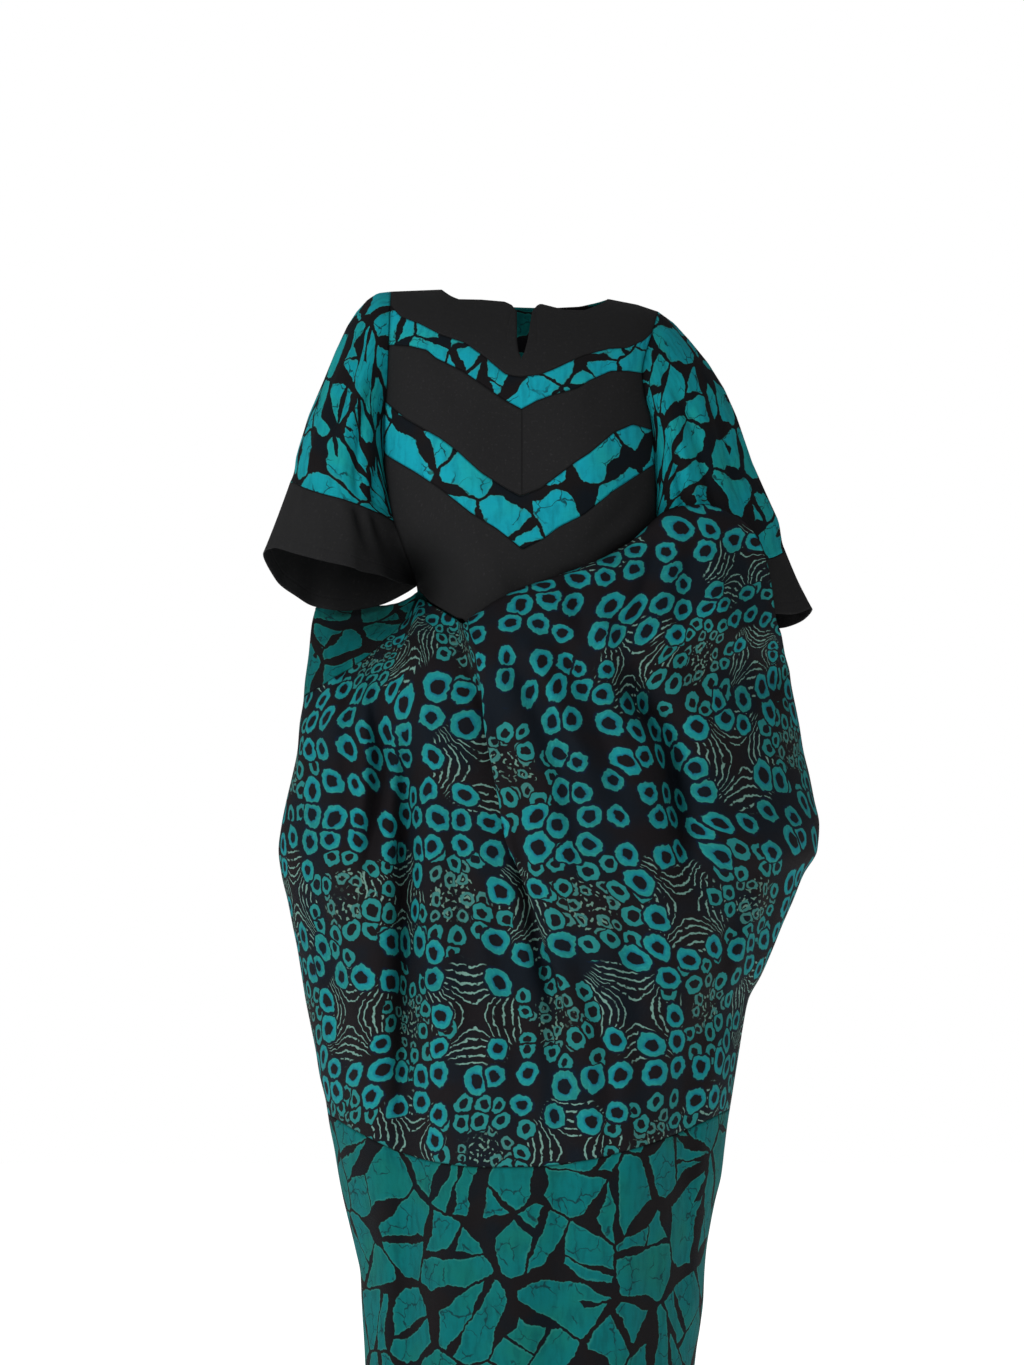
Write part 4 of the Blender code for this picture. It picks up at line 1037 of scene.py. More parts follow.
def joined(parts: Sequence[bpy.types.Object]) -> bpy.types.Object:
    """Join grids into one object and merge the points they share.

    Args:
        parts: the grids.

    Returns:
        The first of them, which now holds them all.
    """
    bpy.ops.object.select_all(action="DESELECT")
    for part in parts:
        part.select_set(True)
    bpy.context.view_layer.objects.active = parts[0]
    if len(parts) > 1:
        bpy.ops.object.join()
    mesh = bmesh.new()
    mesh.from_mesh(parts[0].data)
    bmesh.ops.remove_doubles(mesh, verts=mesh.verts, dist=MERGE)
    bmesh.ops.recalc_face_normals(mesh, faces=mesh.faces)
    mesh.to_mesh(parts[0].data)
    mesh.free()
    return parts[0]


def finish_wall(piece: bpy.types.Object) -> None:
    """Give a sheet its thickness and smooth shading.

    Args:
        piece: the sheet.
    """
    bpy.ops.object.select_all(action="DESELECT")
    piece.select_set(True)
    bpy.context.view_layer.objects.active = piece
    wall = piece.modifiers.new("wall", "SOLIDIFY")
    wall.thickness = WALL
    wall.offset = 0.0
    wall.use_even_offset = False
    bpy.ops.object.modifier_apply(modifier=wall.name)
    bpy.ops.object.shade_smooth()


@dataclass
class Panel(ClothPiece):
    """A front panel between two edges that run from armhole to armhole.

    Attributes:
        top: table of its upper edge.
        bottom: table of its lower edge.
    """

    top: Table = ()
    bottom: Table = ()

    def sheets(self, columns: int, rows: int) -> list[Sheet]:
        """Read the two edges, then sample."""
        self.high = FORM.share_track(self.top)
        self.low = FORM.share_track(self.bottom)
        return super().sheets(columns, rows)

    def spot(self, s: float, t: float) -> Sequence[float]:
        """Place one point of the panel."""
        share = 2.0 * s - 1.0
        w = between(self.high(share) - SEAM, self.low(share) + SEAM, t)
        u = FORM.torso_across(share, w)
        return (u, w, -FORM.torso(u, w) - SIDE_SEAM)


@dataclass
class Yoke(ClothPiece):
    """The front yoke, in two halves that meet below the neck slit."""

    ROWS_UP = 1.35

    def sheets(self, columns: int, rows: int) -> list[Sheet]:
        """Sample both halves."""
        return [Sheet.sampled(columns // 2, rows, self.half(end)) for end in (-1.0, 1.0)]

    def half(self, end: float) -> Shape:
        """Give the shape of one half.

        Args:
            end: minus one for the right half, one for the left.

        Returns:
            A function from two shares to a point.
        """
        left = end > 0.0
        arm = FORM.arm_left if left else FORM.arm_right
        edge = FORM.share_track(YOKE_EDGE)
        slit = Track(metres(SLIT_LEFT if left else SLIT_RIGHT), rounded=False)
        middle = slit(SLIT_TOP)
        neck = metres(NECK_LEFT if left else NECK_RIGHT)
        top = Track([((u - middle) / (arm(w) - middle), w) for u, w in neck], rounded=False)
        bottom = edge(0.0) + SEAM

        def spot(s: float, t: float) -> Sequence[float]:
            """Place one point of this half."""
            t = t ** self.ROWS_UP
            high = top(s)
            high = FORM.on_shoulder(between(middle, FORM.torso_across(end, high), s), high)
            w = between(high, edge(s * end) + SEAM, t)
            u = between(slit(between(SLIT_TOP, bottom, t)), FORM.torso_across(end, w), s)
            return (u, w, -FORM.torso(u, w) - SIDE_SEAM)

        return spot

    def measures(self, sheet: Sheet, first: bool) -> Measures:
        """Measure a half as one sheet, with both the neck and the slit as free edges.

        Args:
            sheet: a laid sheet.
            first: not used, since the halves meet at the same height.

        Returns:
            The coordinates and edge distances.
        """
        found = super().measures(sheet, True)
        across, down = sheet.lengths()
        slit = np.where(sheet.places[..., 2] > SLIT_END, across, 1.0)
        found.hem = np.minimum(down, slit)
        found.margin = np.minimum(across[:, -1:] - across, down[-1:] - down)
        return found


@dataclass
class Wedge(ClothPiece):
    """The wedge of the front that shows under the right cuff."""

    DROP = 0.0012
    TIP = 12.0
    SINK = 0.0030
    SINK_END = 3.0

    def spot(self, s: float, t: float) -> Sequence[float]:
        """Place one point of the wedge.

        Args:
            s: share across, from the outline to the underarm.
            t: share down.

        Returns:
            Across, up and depth.
        """
        a = along(FORM.ridge_lines[-1], s)
        b = along(FORM.wedge_line, s)
        w = between(a[1] - self.DROP, b[1] + SEAM, t)
        side = FORM.side_right(w)
        u = between(side, between(a[0], b[0], t), min(1.0, s * self.TIP))
        sink = self.SINK * max(0.0, 1.0 - self.SINK_END * t) + self.DROP * max(0.0, 1.0 - self.TIP * s)
        return (u, w, FORM.front_under(u, w) - SIDE_SEAM - sink)


# shares across the front: the wedge's part of the right stretch, and both ends of the overlap fold
WEDGE_SHARE = 10.0 / 14.0
FOLD_START = 0.37
FOLD_END = 0.50


def body_zone(s: float) -> tuple[Zone, float]:
    """Tell which stretch of the front a share across lies in and where in it."""
    if s < FOLD_START:
        return Zone.RIGHT, s / FOLD_START
    if s <= FOLD_END:
        return Zone.FOLD, 2.0 * (s - FOLD_START) / (FOLD_END - FOLD_START) - 1.0
    return Zone.LEFT, (s - FOLD_END) / (1.0 - FOLD_END)


@dataclass
class FrontBody(ClothPiece):
    """The ring cloth of the front with its raised layer and overlap fold."""

    FOLD_TOP = (-0.06156, -0.36018)
    FOLD_TOP_HALF = 0.00594
    FOLD_RISE_RIGHT = 0.003456
    FOLD_RISE_LEFT = 0.00432
    TURN = 0.62

    def top(self, zone: Zone, part: float) -> tuple[float, ...]:
        """Give the top of one column.

        Args:
            zone: stretch that it lies in.
            part: where in the stretch.

        Returns:
            Across and up.
        """
        if zone is Zone.LEFT:
            return along(FORM.lip_line, part)
        if zone is Zone.FOLD:
            rise = (self.FOLD_RISE_LEFT if part > 0.0 else self.FOLD_RISE_RIGHT) * part * part
            return (self.FOLD_TOP[0] + self.FOLD_TOP_HALF * part, self.FOLD_TOP[1] + rise)
        if part <= WEDGE_SHARE:
            u, w = along(FORM.wedge_line, part / WEDGE_SHARE)
        else:
            u, w = along(FORM.body_top, (part - WEDGE_SHARE) / (1.0 - WEDGE_SHARE))
        return (u, w - SEAM)

    def layer(self, zone: Zone, part: float, u: float, w: float) -> float:
        """Give the depth of the lower layer, the raised one, or the turn from one to the other."""
        if zone is Zone.RIGHT:
            return FORM.front_under(u, w)
        if zone is Zone.LEFT:
            return FORM.front_over(u, w)
        return between(FORM.front_under(u, w), FORM.front_over(u, w), smooth_step(0.5 + self.TURN * part))

    def spot(self, s: float, t: float) -> Sequence[float]:
        """Place one point of the front body.

        Args:
            s: share across.
            t: share down.

        Returns:
            Across, up and depth.
        """
        zone, part = body_zone(s)
        u0, w0 = self.top(zone, part)
        shift = u0 - FORM.zone_across(zone, part, w0)
        w = between(w0, FORM.front_seam_up(zone, part, SEAM), t)
        u = FORM.zone_across(zone, part, w) + shift * (1.0 - t) ** 2
        return (u, w, self.layer(zone, part, u, w) - SIDE_SEAM)


@dataclass
class FrontBorder(ClothPiece):
    """The border of the front, on the same columns as the ring cloth above it."""

    def spot(self, s: float, t: float) -> Sequence[float]:
        """Place one point of the border."""
        zone, part = body_zone(s)
        low = HEM_GUESS
        for _ in range(ROUNDS):
            low = hem_up(FORM.front_under(FORM.zone_across(zone, part, low), low))
        w = between(FORM.front_seam_up(zone, part, -SEAM), low, t)
        u = FORM.zone_across(zone, part, w)
        return (u, w, FORM.front_under(u, w) - SIDE_SEAM)


@dataclass
class Skirt(ClothPiece):
    """A piece of the back of the skirt.

    Attributes:
        border: whether it runs from the border seam to the hem.
    """

    border: bool = False

    def spot(self, s: float, t: float) -> Sequence[float]:
        """Place one point of this piece.

        Args:
            s: share across.
            t: share down.

        Returns:
            Across, up and depth.
        """
        share = 0.5 - 0.5 * math.cos(math.pi * s)
        seam = hem = SEAM_GUESS
        for _ in range(ROUNDS):
            seam = FORM.back_seam(FORM.skirt_across(share, seam)) + (-SEAM if self.border else SEAM)
            if self.border:
                hem = hem_up(FORM.back_depth(FORM.skirt_across(share, hem), hem))
        w = between(seam, hem, t) if self.border else between(BACK_UPPER_END - SEAM, seam, t)
        u = FORM.skirt_across(share, w)
        return (u, w, FORM.back_depth(u, w) + SIDE_SEAM)


@dataclass
class BackUpper(ClothPiece):
    """The back from the shoulders to below the arms.

    Below the armholes a wing on each side has ten columns for every eighteen between them.
    """

    ROWS_UP = 1.3
    WING_CELLS = 10
    ARM_CELLS = 18
    SPREAD = 0.012
    TIP = 36.0

    def sheets(self, columns: int, rows: int) -> list[Sheet]:
        """Sample the part between the armholes and the wide part below them."""
        self.neck = FORM.share_track(BACK_NECK)
        wings = columns * self.WING_CELLS // self.ARM_CELLS
        self.wing_share = wings / (columns + 2.0 * wings)
        return [Sheet.sampled(columns, rows, self.upper),
                Sheet.sampled(columns + 2 * wings, rows // 2, self.lower)]

    def upper(self, s: float, t: float) -> Sequence[float]:
        """Place one point between the armholes."""
        share = 2.0 * s - 1.0
        high = self.neck(share)
        high = FORM.on_shoulder(FORM.torso_across(share, high), high)
        w = between(high, BACK_JOIN, t ** self.ROWS_UP)
        u = FORM.torso_across(share, w)
        return (u, w, FORM.torso(u, w, True) + SIDE_SEAM)

    def wing(self, part: float, side: int) -> tuple[float, float, float]:
        """Place one column of a wing.

        Args:
            part: share of the way from the outline to the underarm.
            side: minus one for the right wing, one for the left.

        Returns:
            Across and up of its top, and across of its foot.
        """
        inner = FORM.torso_across(side, BACK_JOIN)
        outline = (FORM.side_left if side > 0 else FORM.side_right)(BACK_UPPER_END + SEAM)
        u, w = along(FORM.ridge_lines[side], part)
        u = max(u, inner) if side > 0 else min(u, inner)
        return u, w, between(outline, inner + side * self.SPREAD, part)

    def lower(self, s: float, t: float) -> Sequence[float]:
        """Place one point of the wide part below the armholes.

        Args:
            s: share across.
            t: share down.

        Returns:
            Across, up and depth.
        """
        end, k = BACK_UPPER_END + SEAM, self.wing_share
        between_arms = k - TINY <= s <= 1.0 - k + TINY
        if between_arms:
            share = 2.0 * (s - k) / (1.0 - 2.0 * k) - 1.0
            u0, w0 = FORM.torso_across(share, BACK_JOIN), BACK_JOIN
            low = u0 + self.SPREAD * share
        else:
            u0, w0, low = self.wing(min(s, 1.0 - s) / k, 1 if s > 0.5 else -1)
        w = between(w0, end, t)
        side = FORM.side_right(w) if s < 0.5 else FORM.side_left(w)
        u = between(side, between(u0, low, t), min(1.0, min(s, 1.0 - s) * self.TIP))
        depth = FORM.torso(u, w, True) if t == 0.0 and between_arms else FORM.back_depth(u, w)
        return (u, w, depth + SIDE_SEAM)


@dataclass
class Sleeve:
    """The loops of one set-in sleeve: its armhole, its cuff seam and its open edge.

    Attributes:
        side: minus one for the right sleeve, one for the left.
        corner_up: height of the underarm.
        seam_up: height of the cuff seam at the underarm.
        arm_up: height of the lowest sleeve cloth at the armhole.
    """

    side: int
    corner_up: float
    seam_up: float
    arm_up: float

    CUFF_LIFT = 0.002
    HELD_TURN = 0.16
    CROWN = 1.6
    CROWN_END = 0.12
    CREASE_SPREAD = 2.0

    def __post_init__(self) -> None:
        """Read the loops of this sleeve."""
        right = self.side < 0
        self.edge_up = self.corner_up + self.CUFF_LIFT
        self.armhole = FORM.arm_right if right else FORM.arm_left
        self.top = metres(SLEEVE_RIGHT_TOP if right else SLEEVE_LEFT_TOP)
        self.seam = self.loop(CUFF_SEAM_RIGHT if right else CUFF_SEAM_LEFT, self.seam_up)
        self.edge = self.loop(CUFF_EDGE_RIGHT if right else CUFF_EDGE_LEFT, self.edge_up)
        creases = SLEEVE_RIGHT_CREASES if right else SLEEVE_LEFT_CREASES
        self.creases = Creases(creases, 1.0, self.CREASE_SPREAD)

    def arm_point(self, w: float, back: bool) -> Spot:
        """Give a point of the armhole at a height."""
        u = self.armhole(w)
        y = FORM.torso(u, w, back)
        return (u + self.side * ARMHOLE_SLEEVE, w, y if back else -y)

    def loop(self, table: Table, end_up: float) -> Callable[[float], Spot]:
        """Read a loop whose two ends lie on the armhole.

        Args:
            table: across, up and depth of its points.
            end_up: height of both ends.

        Returns:
            A function from a turn to a point.
        """
        rows = [(0.0, *self.arm_point(end_up, False)), (1.0, *self.arm_point(end_up, True)),
                *((turn, *spot) for turn, spot in zip(CUFF_TURNS, metres(table)))]
        tracks = [Track(rows, value) for value in (1, 2, 3)]
        return lambda turn: tuple(read(turn) for read in tracks)

    def arm_loop(self, turn: float) -> Spot:
        """Read the armhole from front to back over the shoulder tip."""
        w = between(self.arm_up, self.top[0][1], math.sin(math.pi * turn))
        return self.arm_point(w, turn > 0.5)

    def blend(self, turn: float, t: float, cuff: bool) -> np.ndarray:
        """Stretch the sleeve or the cuff between its two loops, held to the armhole at both ends.

        Args:
            turn: share of the way round, from front to back over the top.
            t: share of the length.
            cuff: whether it is the cuff.

        Returns:
            Across, up and depth.
        """
        first, last = (self.seam, self.edge) if cuff else (self.arm_loop, self.seam)
        start_up, end_up = (self.seam_up, self.edge_up) if cuff else (self.arm_up, self.seam_up)

        def thread(at: float) -> np.ndarray:
            """Give the point of a straight thread from one loop to the other."""
            return between(np.array(first(at)), np.array(last(at)), t)

        spot = thread(turn)
        for end, back in ((0.0, False), (1.0, True)):
            near = max(0.0, 1.0 - abs(turn - end) / self.HELD_TURN) ** 2
            spot = spot + near * (self.arm_point(between(start_up, end_up, t), back) - thread(end))
        if cuff:
            return spot
        crown = (*along(self.top, t), self.seam(0.5)[2] * t)
        swell = math.sin(math.pi * turn) ** self.CROWN * smooth_step((1.0 - t) / self.CROWN_END)
        return spot + swell * (crown - thread(0.5))


@dataclass
class SleevePiece(ClothPiece):
    """A sleeve or its cuff.

    Attributes:
        sleeve: loops that it hangs between.
        cuff: whether it is the cuff.
    """

    sleeve: Sleeve | None = None
    cuff: bool = False

    FULL = 0.012
    SEAM_PART = 4.0
    SEAM_HOLD = 0.96
    SEAM_REACH = 0.10
    ARM_REACH = 0.12
    UNDERARM_REACH = 0.06
    STRETCH = 0.45
    SWAYS = ((0.0022, 31.0, 0.0), (0.0016, 53.0, 1.3))
    SWAY_REACH = 0.10
    CUFF_PRINT = 0.2

    def spot(self, s: float, t: float) -> Sequence[float]:
        """Place one point of the sleeve or cuff."""
        u, w, y = self.sleeve.blend(s, t, self.cuff)
        if self.cuff:
            return (u, w - SEAM * smooth_step(1.0 - self.SEAM_PART * t), y)
        full = self.FULL * math.sin(math.pi * t) * abs(math.sin(2.0 * math.pi * s))
        w += SEAM * smooth_step(1.0 - self.SEAM_PART * (1.0 - t))
        return (u, w, y + (full if s > 0.5 else -full))

    def sheets(self, columns: int, rows: int) -> list[Sheet]:
        """Sample the loop, then press its creases along its own normals.

        Args:
            columns: how many cells round it.
            rows: how many cells down.

        Returns:
            The one sheet, laid.
        """
        sheet = Sheet.sampled(columns, rows, self.spot)
        sheet.lay()
        p = sheet.places
        normal = np.cross(np.gradient(p, axis=1), np.gradient(p, axis=0))
        normal /= np.maximum(np.linalg.norm(normal, axis=-1, keepdims=True), TINY)
        outwards = p - p.mean(axis=1, keepdims=True)
        normal *= np.sign((normal * outwards).sum(axis=(1, 2)).mean())
        turn, length = np.meshgrid(np.linspace(0.0, 1.0, columns + 1), np.linspace(0.0, 1.0, rows + 1))
        if self.cuff:
            length = length + 1.0
        from_underarm = np.minimum(turn, 1.0 - turn)
        loose = 1.0 - self.SEAM_HOLD * np.exp(-((length - 1.0) / self.SEAM_REACH) ** 2)
        loose = loose * np.clip(length / self.ARM_REACH, 0.0, 1.0)
        loose = loose * np.clip(from_underarm / self.UNDERARM_REACH, 0.0, 1.0)
        inward = self.sleeve.creases.at(turn, length, self.STRETCH) * loose
        if self.cuff:
            sway = sum(size * np.sin(turn * waves + shift) for size, waves, shift in self.SWAYS)
            inward += sway * (length - 1.0) ** 2 * np.clip(from_underarm / self.SWAY_REACH, 0.0, 1.0)
        sheet.places = p - normal * inward[..., None]
        return [sheet]

    def measures(self, sheet: Sheet, first: bool) -> Measures:
        """Measure round the loop and down the top line.

        Args:
            sheet: a laid sheet.
            first: not used, since a sleeve is one sheet.

        Returns:
            The coordinates and edge distances.
        """
        across, down = sheet.lengths()
        mid = across.shape[1] // 2
        u = across - across[:, mid:mid + 1]
        v = np.repeat(-down[:, mid:mid + 1], across.shape[1], axis=1)
        if self.cuff:
            return Measures(u, v - self.CUFF_PRINT, down, down[-1:] - down)
        return Measures(u, v, down, np.ones_like(u))


class Num:
    """A number socket of a node tree, with arithmetic."""

    def __init__(self, graph: "Graph", socket: Socket) -> None:
        """Keep the tree and the socket."""
        self.graph = graph
        self.socket = socket

    def __add__(self, other: "Num | float") -> "Num":
        """Add."""
        return self.graph.math("ADD", self, other)

    __radd__ = __add__

    def __mul__(self, other: "Num | float") -> "Num":
        """Multiply."""
        return self.graph.math("MULTIPLY", self, other)

    __rmul__ = __mul__

    def __sub__(self, other: "Num | float") -> "Num":
        """Subtract."""
        return self.graph.math("SUBTRACT", self, other)

    def __rsub__(self, other: float) -> "Num":
        """Subtract from a number."""
        return self.graph.math("SUBTRACT", other, self)

    def __truediv__(self, other: "Num | float") -> "Num":
        """Divide."""
        return self.graph.math("DIVIDE", self, other)

    def __rtruediv__(self, other: float) -> "Num":
        """Divide a number by this."""
        return self.graph.math("DIVIDE", other, self)

    def __abs__(self) -> "Num":
        """Drop the sign."""
        return self.graph.math("ABSOLUTE", self)

    def __lt__(self, other: "Num | float") -> "Num":
        """Give one where this is less."""
        return self.graph.math("LESS_THAN", self, other)

    def __gt__(self, other: "Num | float") -> "Num":
        """Give one where this is more."""
        return self.graph.math("GREATER_THAN", self, other)


class Graph:
    """The node tree of one material, and the short way to fill it."""

    def __init__(self, name: str) -> None:
        """Make the material."""
        self.material = bpy.data.materials.new(name)
        self.material.use_nodes = True
        self.tree = self.material.node_tree
        self.shader = self.tree.nodes["Principled BSDF"]

    def node(self, kind: str, settings: dict[str, object], values: dict[int | str, object]) -> bpy.types.Node:
        """Add a node.

        Args:
            kind: type of node.
            settings: its properties.
            values: what goes into its sockets, numbers or other sockets.

        Returns:
            The node.
        """
        made = self.tree.nodes.new(kind)
        for name, value in settings.items():
            setattr(made, name, value)
        for key, value in values.items():
            self.feed(made.inputs[key], value)
        return made

    def feed(self, socket: Socket, value: object) -> None:
        """Put a number into a socket, or link another socket to it."""
        value = value.socket if isinstance(value, Num) else value
        if isinstance(value, Socket):
            self.tree.links.new(value, socket)
        else:
            socket.default_value = value

    def math(self, kind: str, *values: "Num | float") -> Num:
        """Add a maths node."""
        return Num(self, self.node("ShaderNodeMath", {"operation": kind}, dict(enumerate(values))).outputs[0])

    def step(self, low: float, high: float, value: Num) -> Num:
        """Ease from 0 to 1 while a value goes from one number to another."""
        made = self.node("ShaderNodeMapRange", {"interpolation_type": "SMOOTHSTEP"},
                         {"Value": value, "From Min": low, "From Max": high})
        return Num(self, made.outputs[0])

    def vector(self, kind: str, *values: object) -> Socket:
        """Add a vector maths node."""
        made = self.node("ShaderNodeVectorMath", {"operation": kind}, dict(enumerate(values)))
        return made.outputs[1 if kind == "DISTANCE" else 0]

    def distance(self, first: Socket, second: Socket) -> Num:
        """Give the distance between two points."""
        return Num(self, self.vector("DISTANCE", first, second))

    def point(self, x: "Num | float", y: "Num | float") -> Socket:
        """Make a flat vector from two numbers."""
        return self.node("ShaderNodeCombineXYZ", {}, {0: x, 1: y}).outputs[0]

    def parts(self, vector: Socket, count: int = 2) -> list[Num]:
        """Take the first numbers of a vector."""
        made = self.node("ShaderNodeSeparateXYZ", {}, {0: vector})
        return [Num(self, made.outputs[k]) for k in range(count)]

    def attribute(self, name: str) -> Num:
        """Read a number that the mesh carries."""
        return Num(self, self.node("ShaderNodeAttribute", {"attribute_name": name}, {}).outputs["Fac"])

    def clouds(self, at: Socket, scale: float, detail: float) -> bpy.types.Node:
        """Add a flat noise node."""
        return self.node("ShaderNodeTexNoise", {"noise_dimensions": "2D"},
                         {"Vector": at, "Scale": scale, "Detail": detail})

    def noise(self, at: Socket, scale: float, detail: float = 2.0) -> Num:
        """Add a flat noise between 0 and 1."""
        return Num(self, self.clouds(at, scale, detail).outputs["Fac"])

    def wobble(self, at: Socket, scale: float, reach: float) -> Socket:
        """Move points a little, as a hand-drawn line does."""
        shift = self.vector("SUBTRACT", self.clouds(at, scale, 1.5).outputs["Color"], (0.5, 0.5, 0.5))
        return self.vector("ADD", at, self.vector("MULTIPLY", shift, (reach, reach, 0.0)))

    def cells(self, at: Socket, size: float, loose: float) -> tuple[Num, Socket, Socket]:
        """Add flat cells.

        Args:
            at: where to read them.
            size: metres from cell to cell.
            loose: how far the cells are moved off their grid, 0 to 1.

        Returns:
            Metres to the nearest cell point, that point, and three chance numbers of the cell.
        """
        made = self.node("ShaderNodeTexVoronoi", {"voronoi_dimensions": "2D"},
                         {"Vector": at, "Scale": 1.0 / size, "Randomness": loose})
        return Num(self, made.outputs["Distance"]) * size, made.outputs["Position"], made.outputs["Color"]

    def borders(self, at: Socket, size: float, loose: float) -> Num:
        """Give metres to the nearest border between cells."""
        made = self.node("ShaderNodeTexVoronoi", {"voronoi_dimensions": "2D", "feature": "DISTANCE_TO_EDGE"},
                         {"Vector": at, "Scale": 1.0 / size, "Randomness": loose})
        return Num(self, made.outputs["Distance"]) * size

    def mix(self, share: "Num | float", first: object, second: object, blend: str = "MIX") -> Socket:
        """Mix two colours."""
        made = self.node("ShaderNodeMix", {"data_type": "RGBA", "blend_type": blend},
                         {0: share, 6: first, 7: second})
        return made.outputs[2]

    def shaded(self, colour: object, factor: Num) -> Socket:
        """Darken or lighten a colour by a number."""
        grey = self.node("ShaderNodeCombineColor", {}, {0: factor, 1: factor, 2: factor}).outputs[0]
        return self.mix(1.0, colour, grey, "MULTIPLY")


def rgba(red: float, green: float, blue: float) -> Colour:
    """Give a colour with full cover."""
    return (red, green, blue, 1.0)


COTTON_BLACK = rgba(0.0125, 0.0125, 0.0130)
LINT = rgba(0.035, 0.034, 0.034)
# painted shade: the dark line of the chest's centre seam
CENTRE_SEAM_SHADE = rgba(0.004, 0.004, 0.004)
PIECE_VEIN = rgba(0.003, 0.028, 0.034)
PIECE_RIM = rgba(0.030, 0.23, 0.18)
PIECE_GROUND = rgba(0.0060, 0.0050, 0.0056)
PIECE_GROUND_BLUE = rgba(0.0026, 0.0050, 0.0078)
RING_TEAL = rgba(0.006, 0.208, 0.228)
RING_GREEN = rgba(0.009, 0.174, 0.168)
RING_BRUSHED = rgba(0.018, 0.27, 0.27)
RING_BLUE = rgba(0.004, 0.075, 0.15)
RING_RIM = rgba(0.03, 0.21, 0.16)
RING_HALO = rgba(0.002, 0.012, 0.034)
RING_GROUND = rgba(0.0072, 0.0058, 0.0070)
RING_GROUND_BLUE = rgba(0.0036, 0.0064, 0.0105)
MEDIUM_TEAL = rgba(0.016, 0.190, 0.185)
SMALL_TEAL = rgba(0.040, 0.175, 0.160)
FAN_LINE = rgba(0.135, 0.265, 0.225)
FLECK = rgba(0.13, 0.26, 0.21)


@dataclass(frozen=True)
class Finish:
    """A matt cotton, its seams and its stitched hems; lengths in metres.

    Attributes:
        label: name of the material.
        roughness: how matt it is.
        shine: how strongly it reflects.
        weave: height of the weave.
        thread: from thread to thread.
        seam: how wide the dip and its painted shade at a sewn edge are.
        fold_line: from a free edge to the end of its turned cloth.
        stitch_line: from a free edge to its stitches.
        stitch: from stitch to stitch.
    """

    label: str
    roughness: float = 0.86
    shine: float = 0.10
    weave: float = 0.00012
    thread: float = 0.0011
    seam: float = 0.0018
    fold_line: float = 0.0135
    stitch_line: float = 0.0118
    stitch: float = 0.0042

    def material(self) -> bpy.types.Material:
        """Make the material, once.

        Returns:
            The new material, or the one made before.
        """
        found = bpy.data.materials.get(self.label)
        if found is not None:
            return found
        graph = Graph(self.label)
        uv = graph.node("ShaderNodeUVMap", {"uv_map": "cloth"}, {}).outputs[0]
        hem = graph.attribute("hem")
        slub, cross = (graph.noise(graph.vector("MULTIPLY", uv, thin), 420.0, 1.0)
                       for thin in ((1.0, 0.22, 1.0), (0.22, 1.0, 1.0)))
        wear = graph.noise(uv, 9.0, 3.0)
        # slub, cross and wear give the cloth's own uneven tone; the seam term is painted shade, darker colour
        # at every sewn edge where the cloth dips
        seam = graph.step(self.seam, 0.0, graph.attribute("margin"))
        tone_and_seam_shade = 0.86 + 0.10 * slub + 0.10 * cross + 0.10 * wear - 0.45 * seam
        graph.feed(graph.shader.inputs["Base Color"], graph.shaded(self.colour(graph, uv), tone_and_seam_shade))
        graph.feed(graph.shader.inputs["Roughness"], self.roughness - 0.06 + 0.10 * wear)
        height = self.threads(graph, uv) + 0.5 * (slub + cross) - 2.2 * seam + self.stitches(graph, uv, hem)
        height = height - 1.6 * graph.step(0.0022, 0.0, abs(hem - self.fold_line))
        bump = graph.node("ShaderNodeBump", {},
                          {"Strength": 0.55, "Distance": self.weave * 2.5, "Height": height})
        graph.feed(graph.shader.inputs["Normal"], bump.outputs[0])
        graph.feed(graph.shader.inputs["Specular IOR Level"], self.shine)
        return graph.material

    def threads(self, graph: Graph, uv: Socket) -> Num:
        """Give the height of a plain weave."""
        x, y = (graph.math("SINE", part * (2.0 * math.pi / self.thread)) for part in graph.parts(uv))
        return 0.6 * x * y

    def stitches(self, graph: Graph, uv: Socket, hem: Num) -> Num:
        """Give the height of the stitches that hold a turned edge."""
        x, y = graph.parts(uv)
        row = graph.step(0.0009, 0.0003, abs(hem - self.stitch_line))
        dash = graph.step(-0.5, 0.0, graph.math("SINE", (x + y) * (2.0 * math.pi / self.stitch)))
        return 2.0 * row * dash - row

    def colour(self, graph: Graph, uv: Socket) -> Socket:
        """Give the colour of the cloth."""
        raise NotImplementedError


@dataclass(frozen=True)
class PlainBlack(Finish):
    """Plain black cotton.

    Attributes:
        centre_seam: whether a seam runs down its middle, drawn as a line of painted shade.
    """

    centre_seam: bool = False

    def colour(self, graph: Graph, uv: Socket) -> Socket:
        """Give a black that is a little uneven, with painted shade along its centre seam.

        Args:
            graph: the material's graph.
            uv: print coordinates.

        Returns:
            The colour.
        """
        lint = graph.step(0.60, 0.80, graph.noise(uv, 300.0, 3.0))
        base = graph.mix(0.35 * lint, COTTON_BLACK, LINT)
        if not self.centre_seam:
            return base
        # painted shade: a dark line down the centre seam, with no dip in the cloth under it
        centre_seam_shade = graph.step(0.0014, 0.0003, abs(graph.parts(uv)[0] - CENTRE))
        return graph.mix(0.7 * centre_seam_shade, base, CENTRE_SEAM_SHADE)


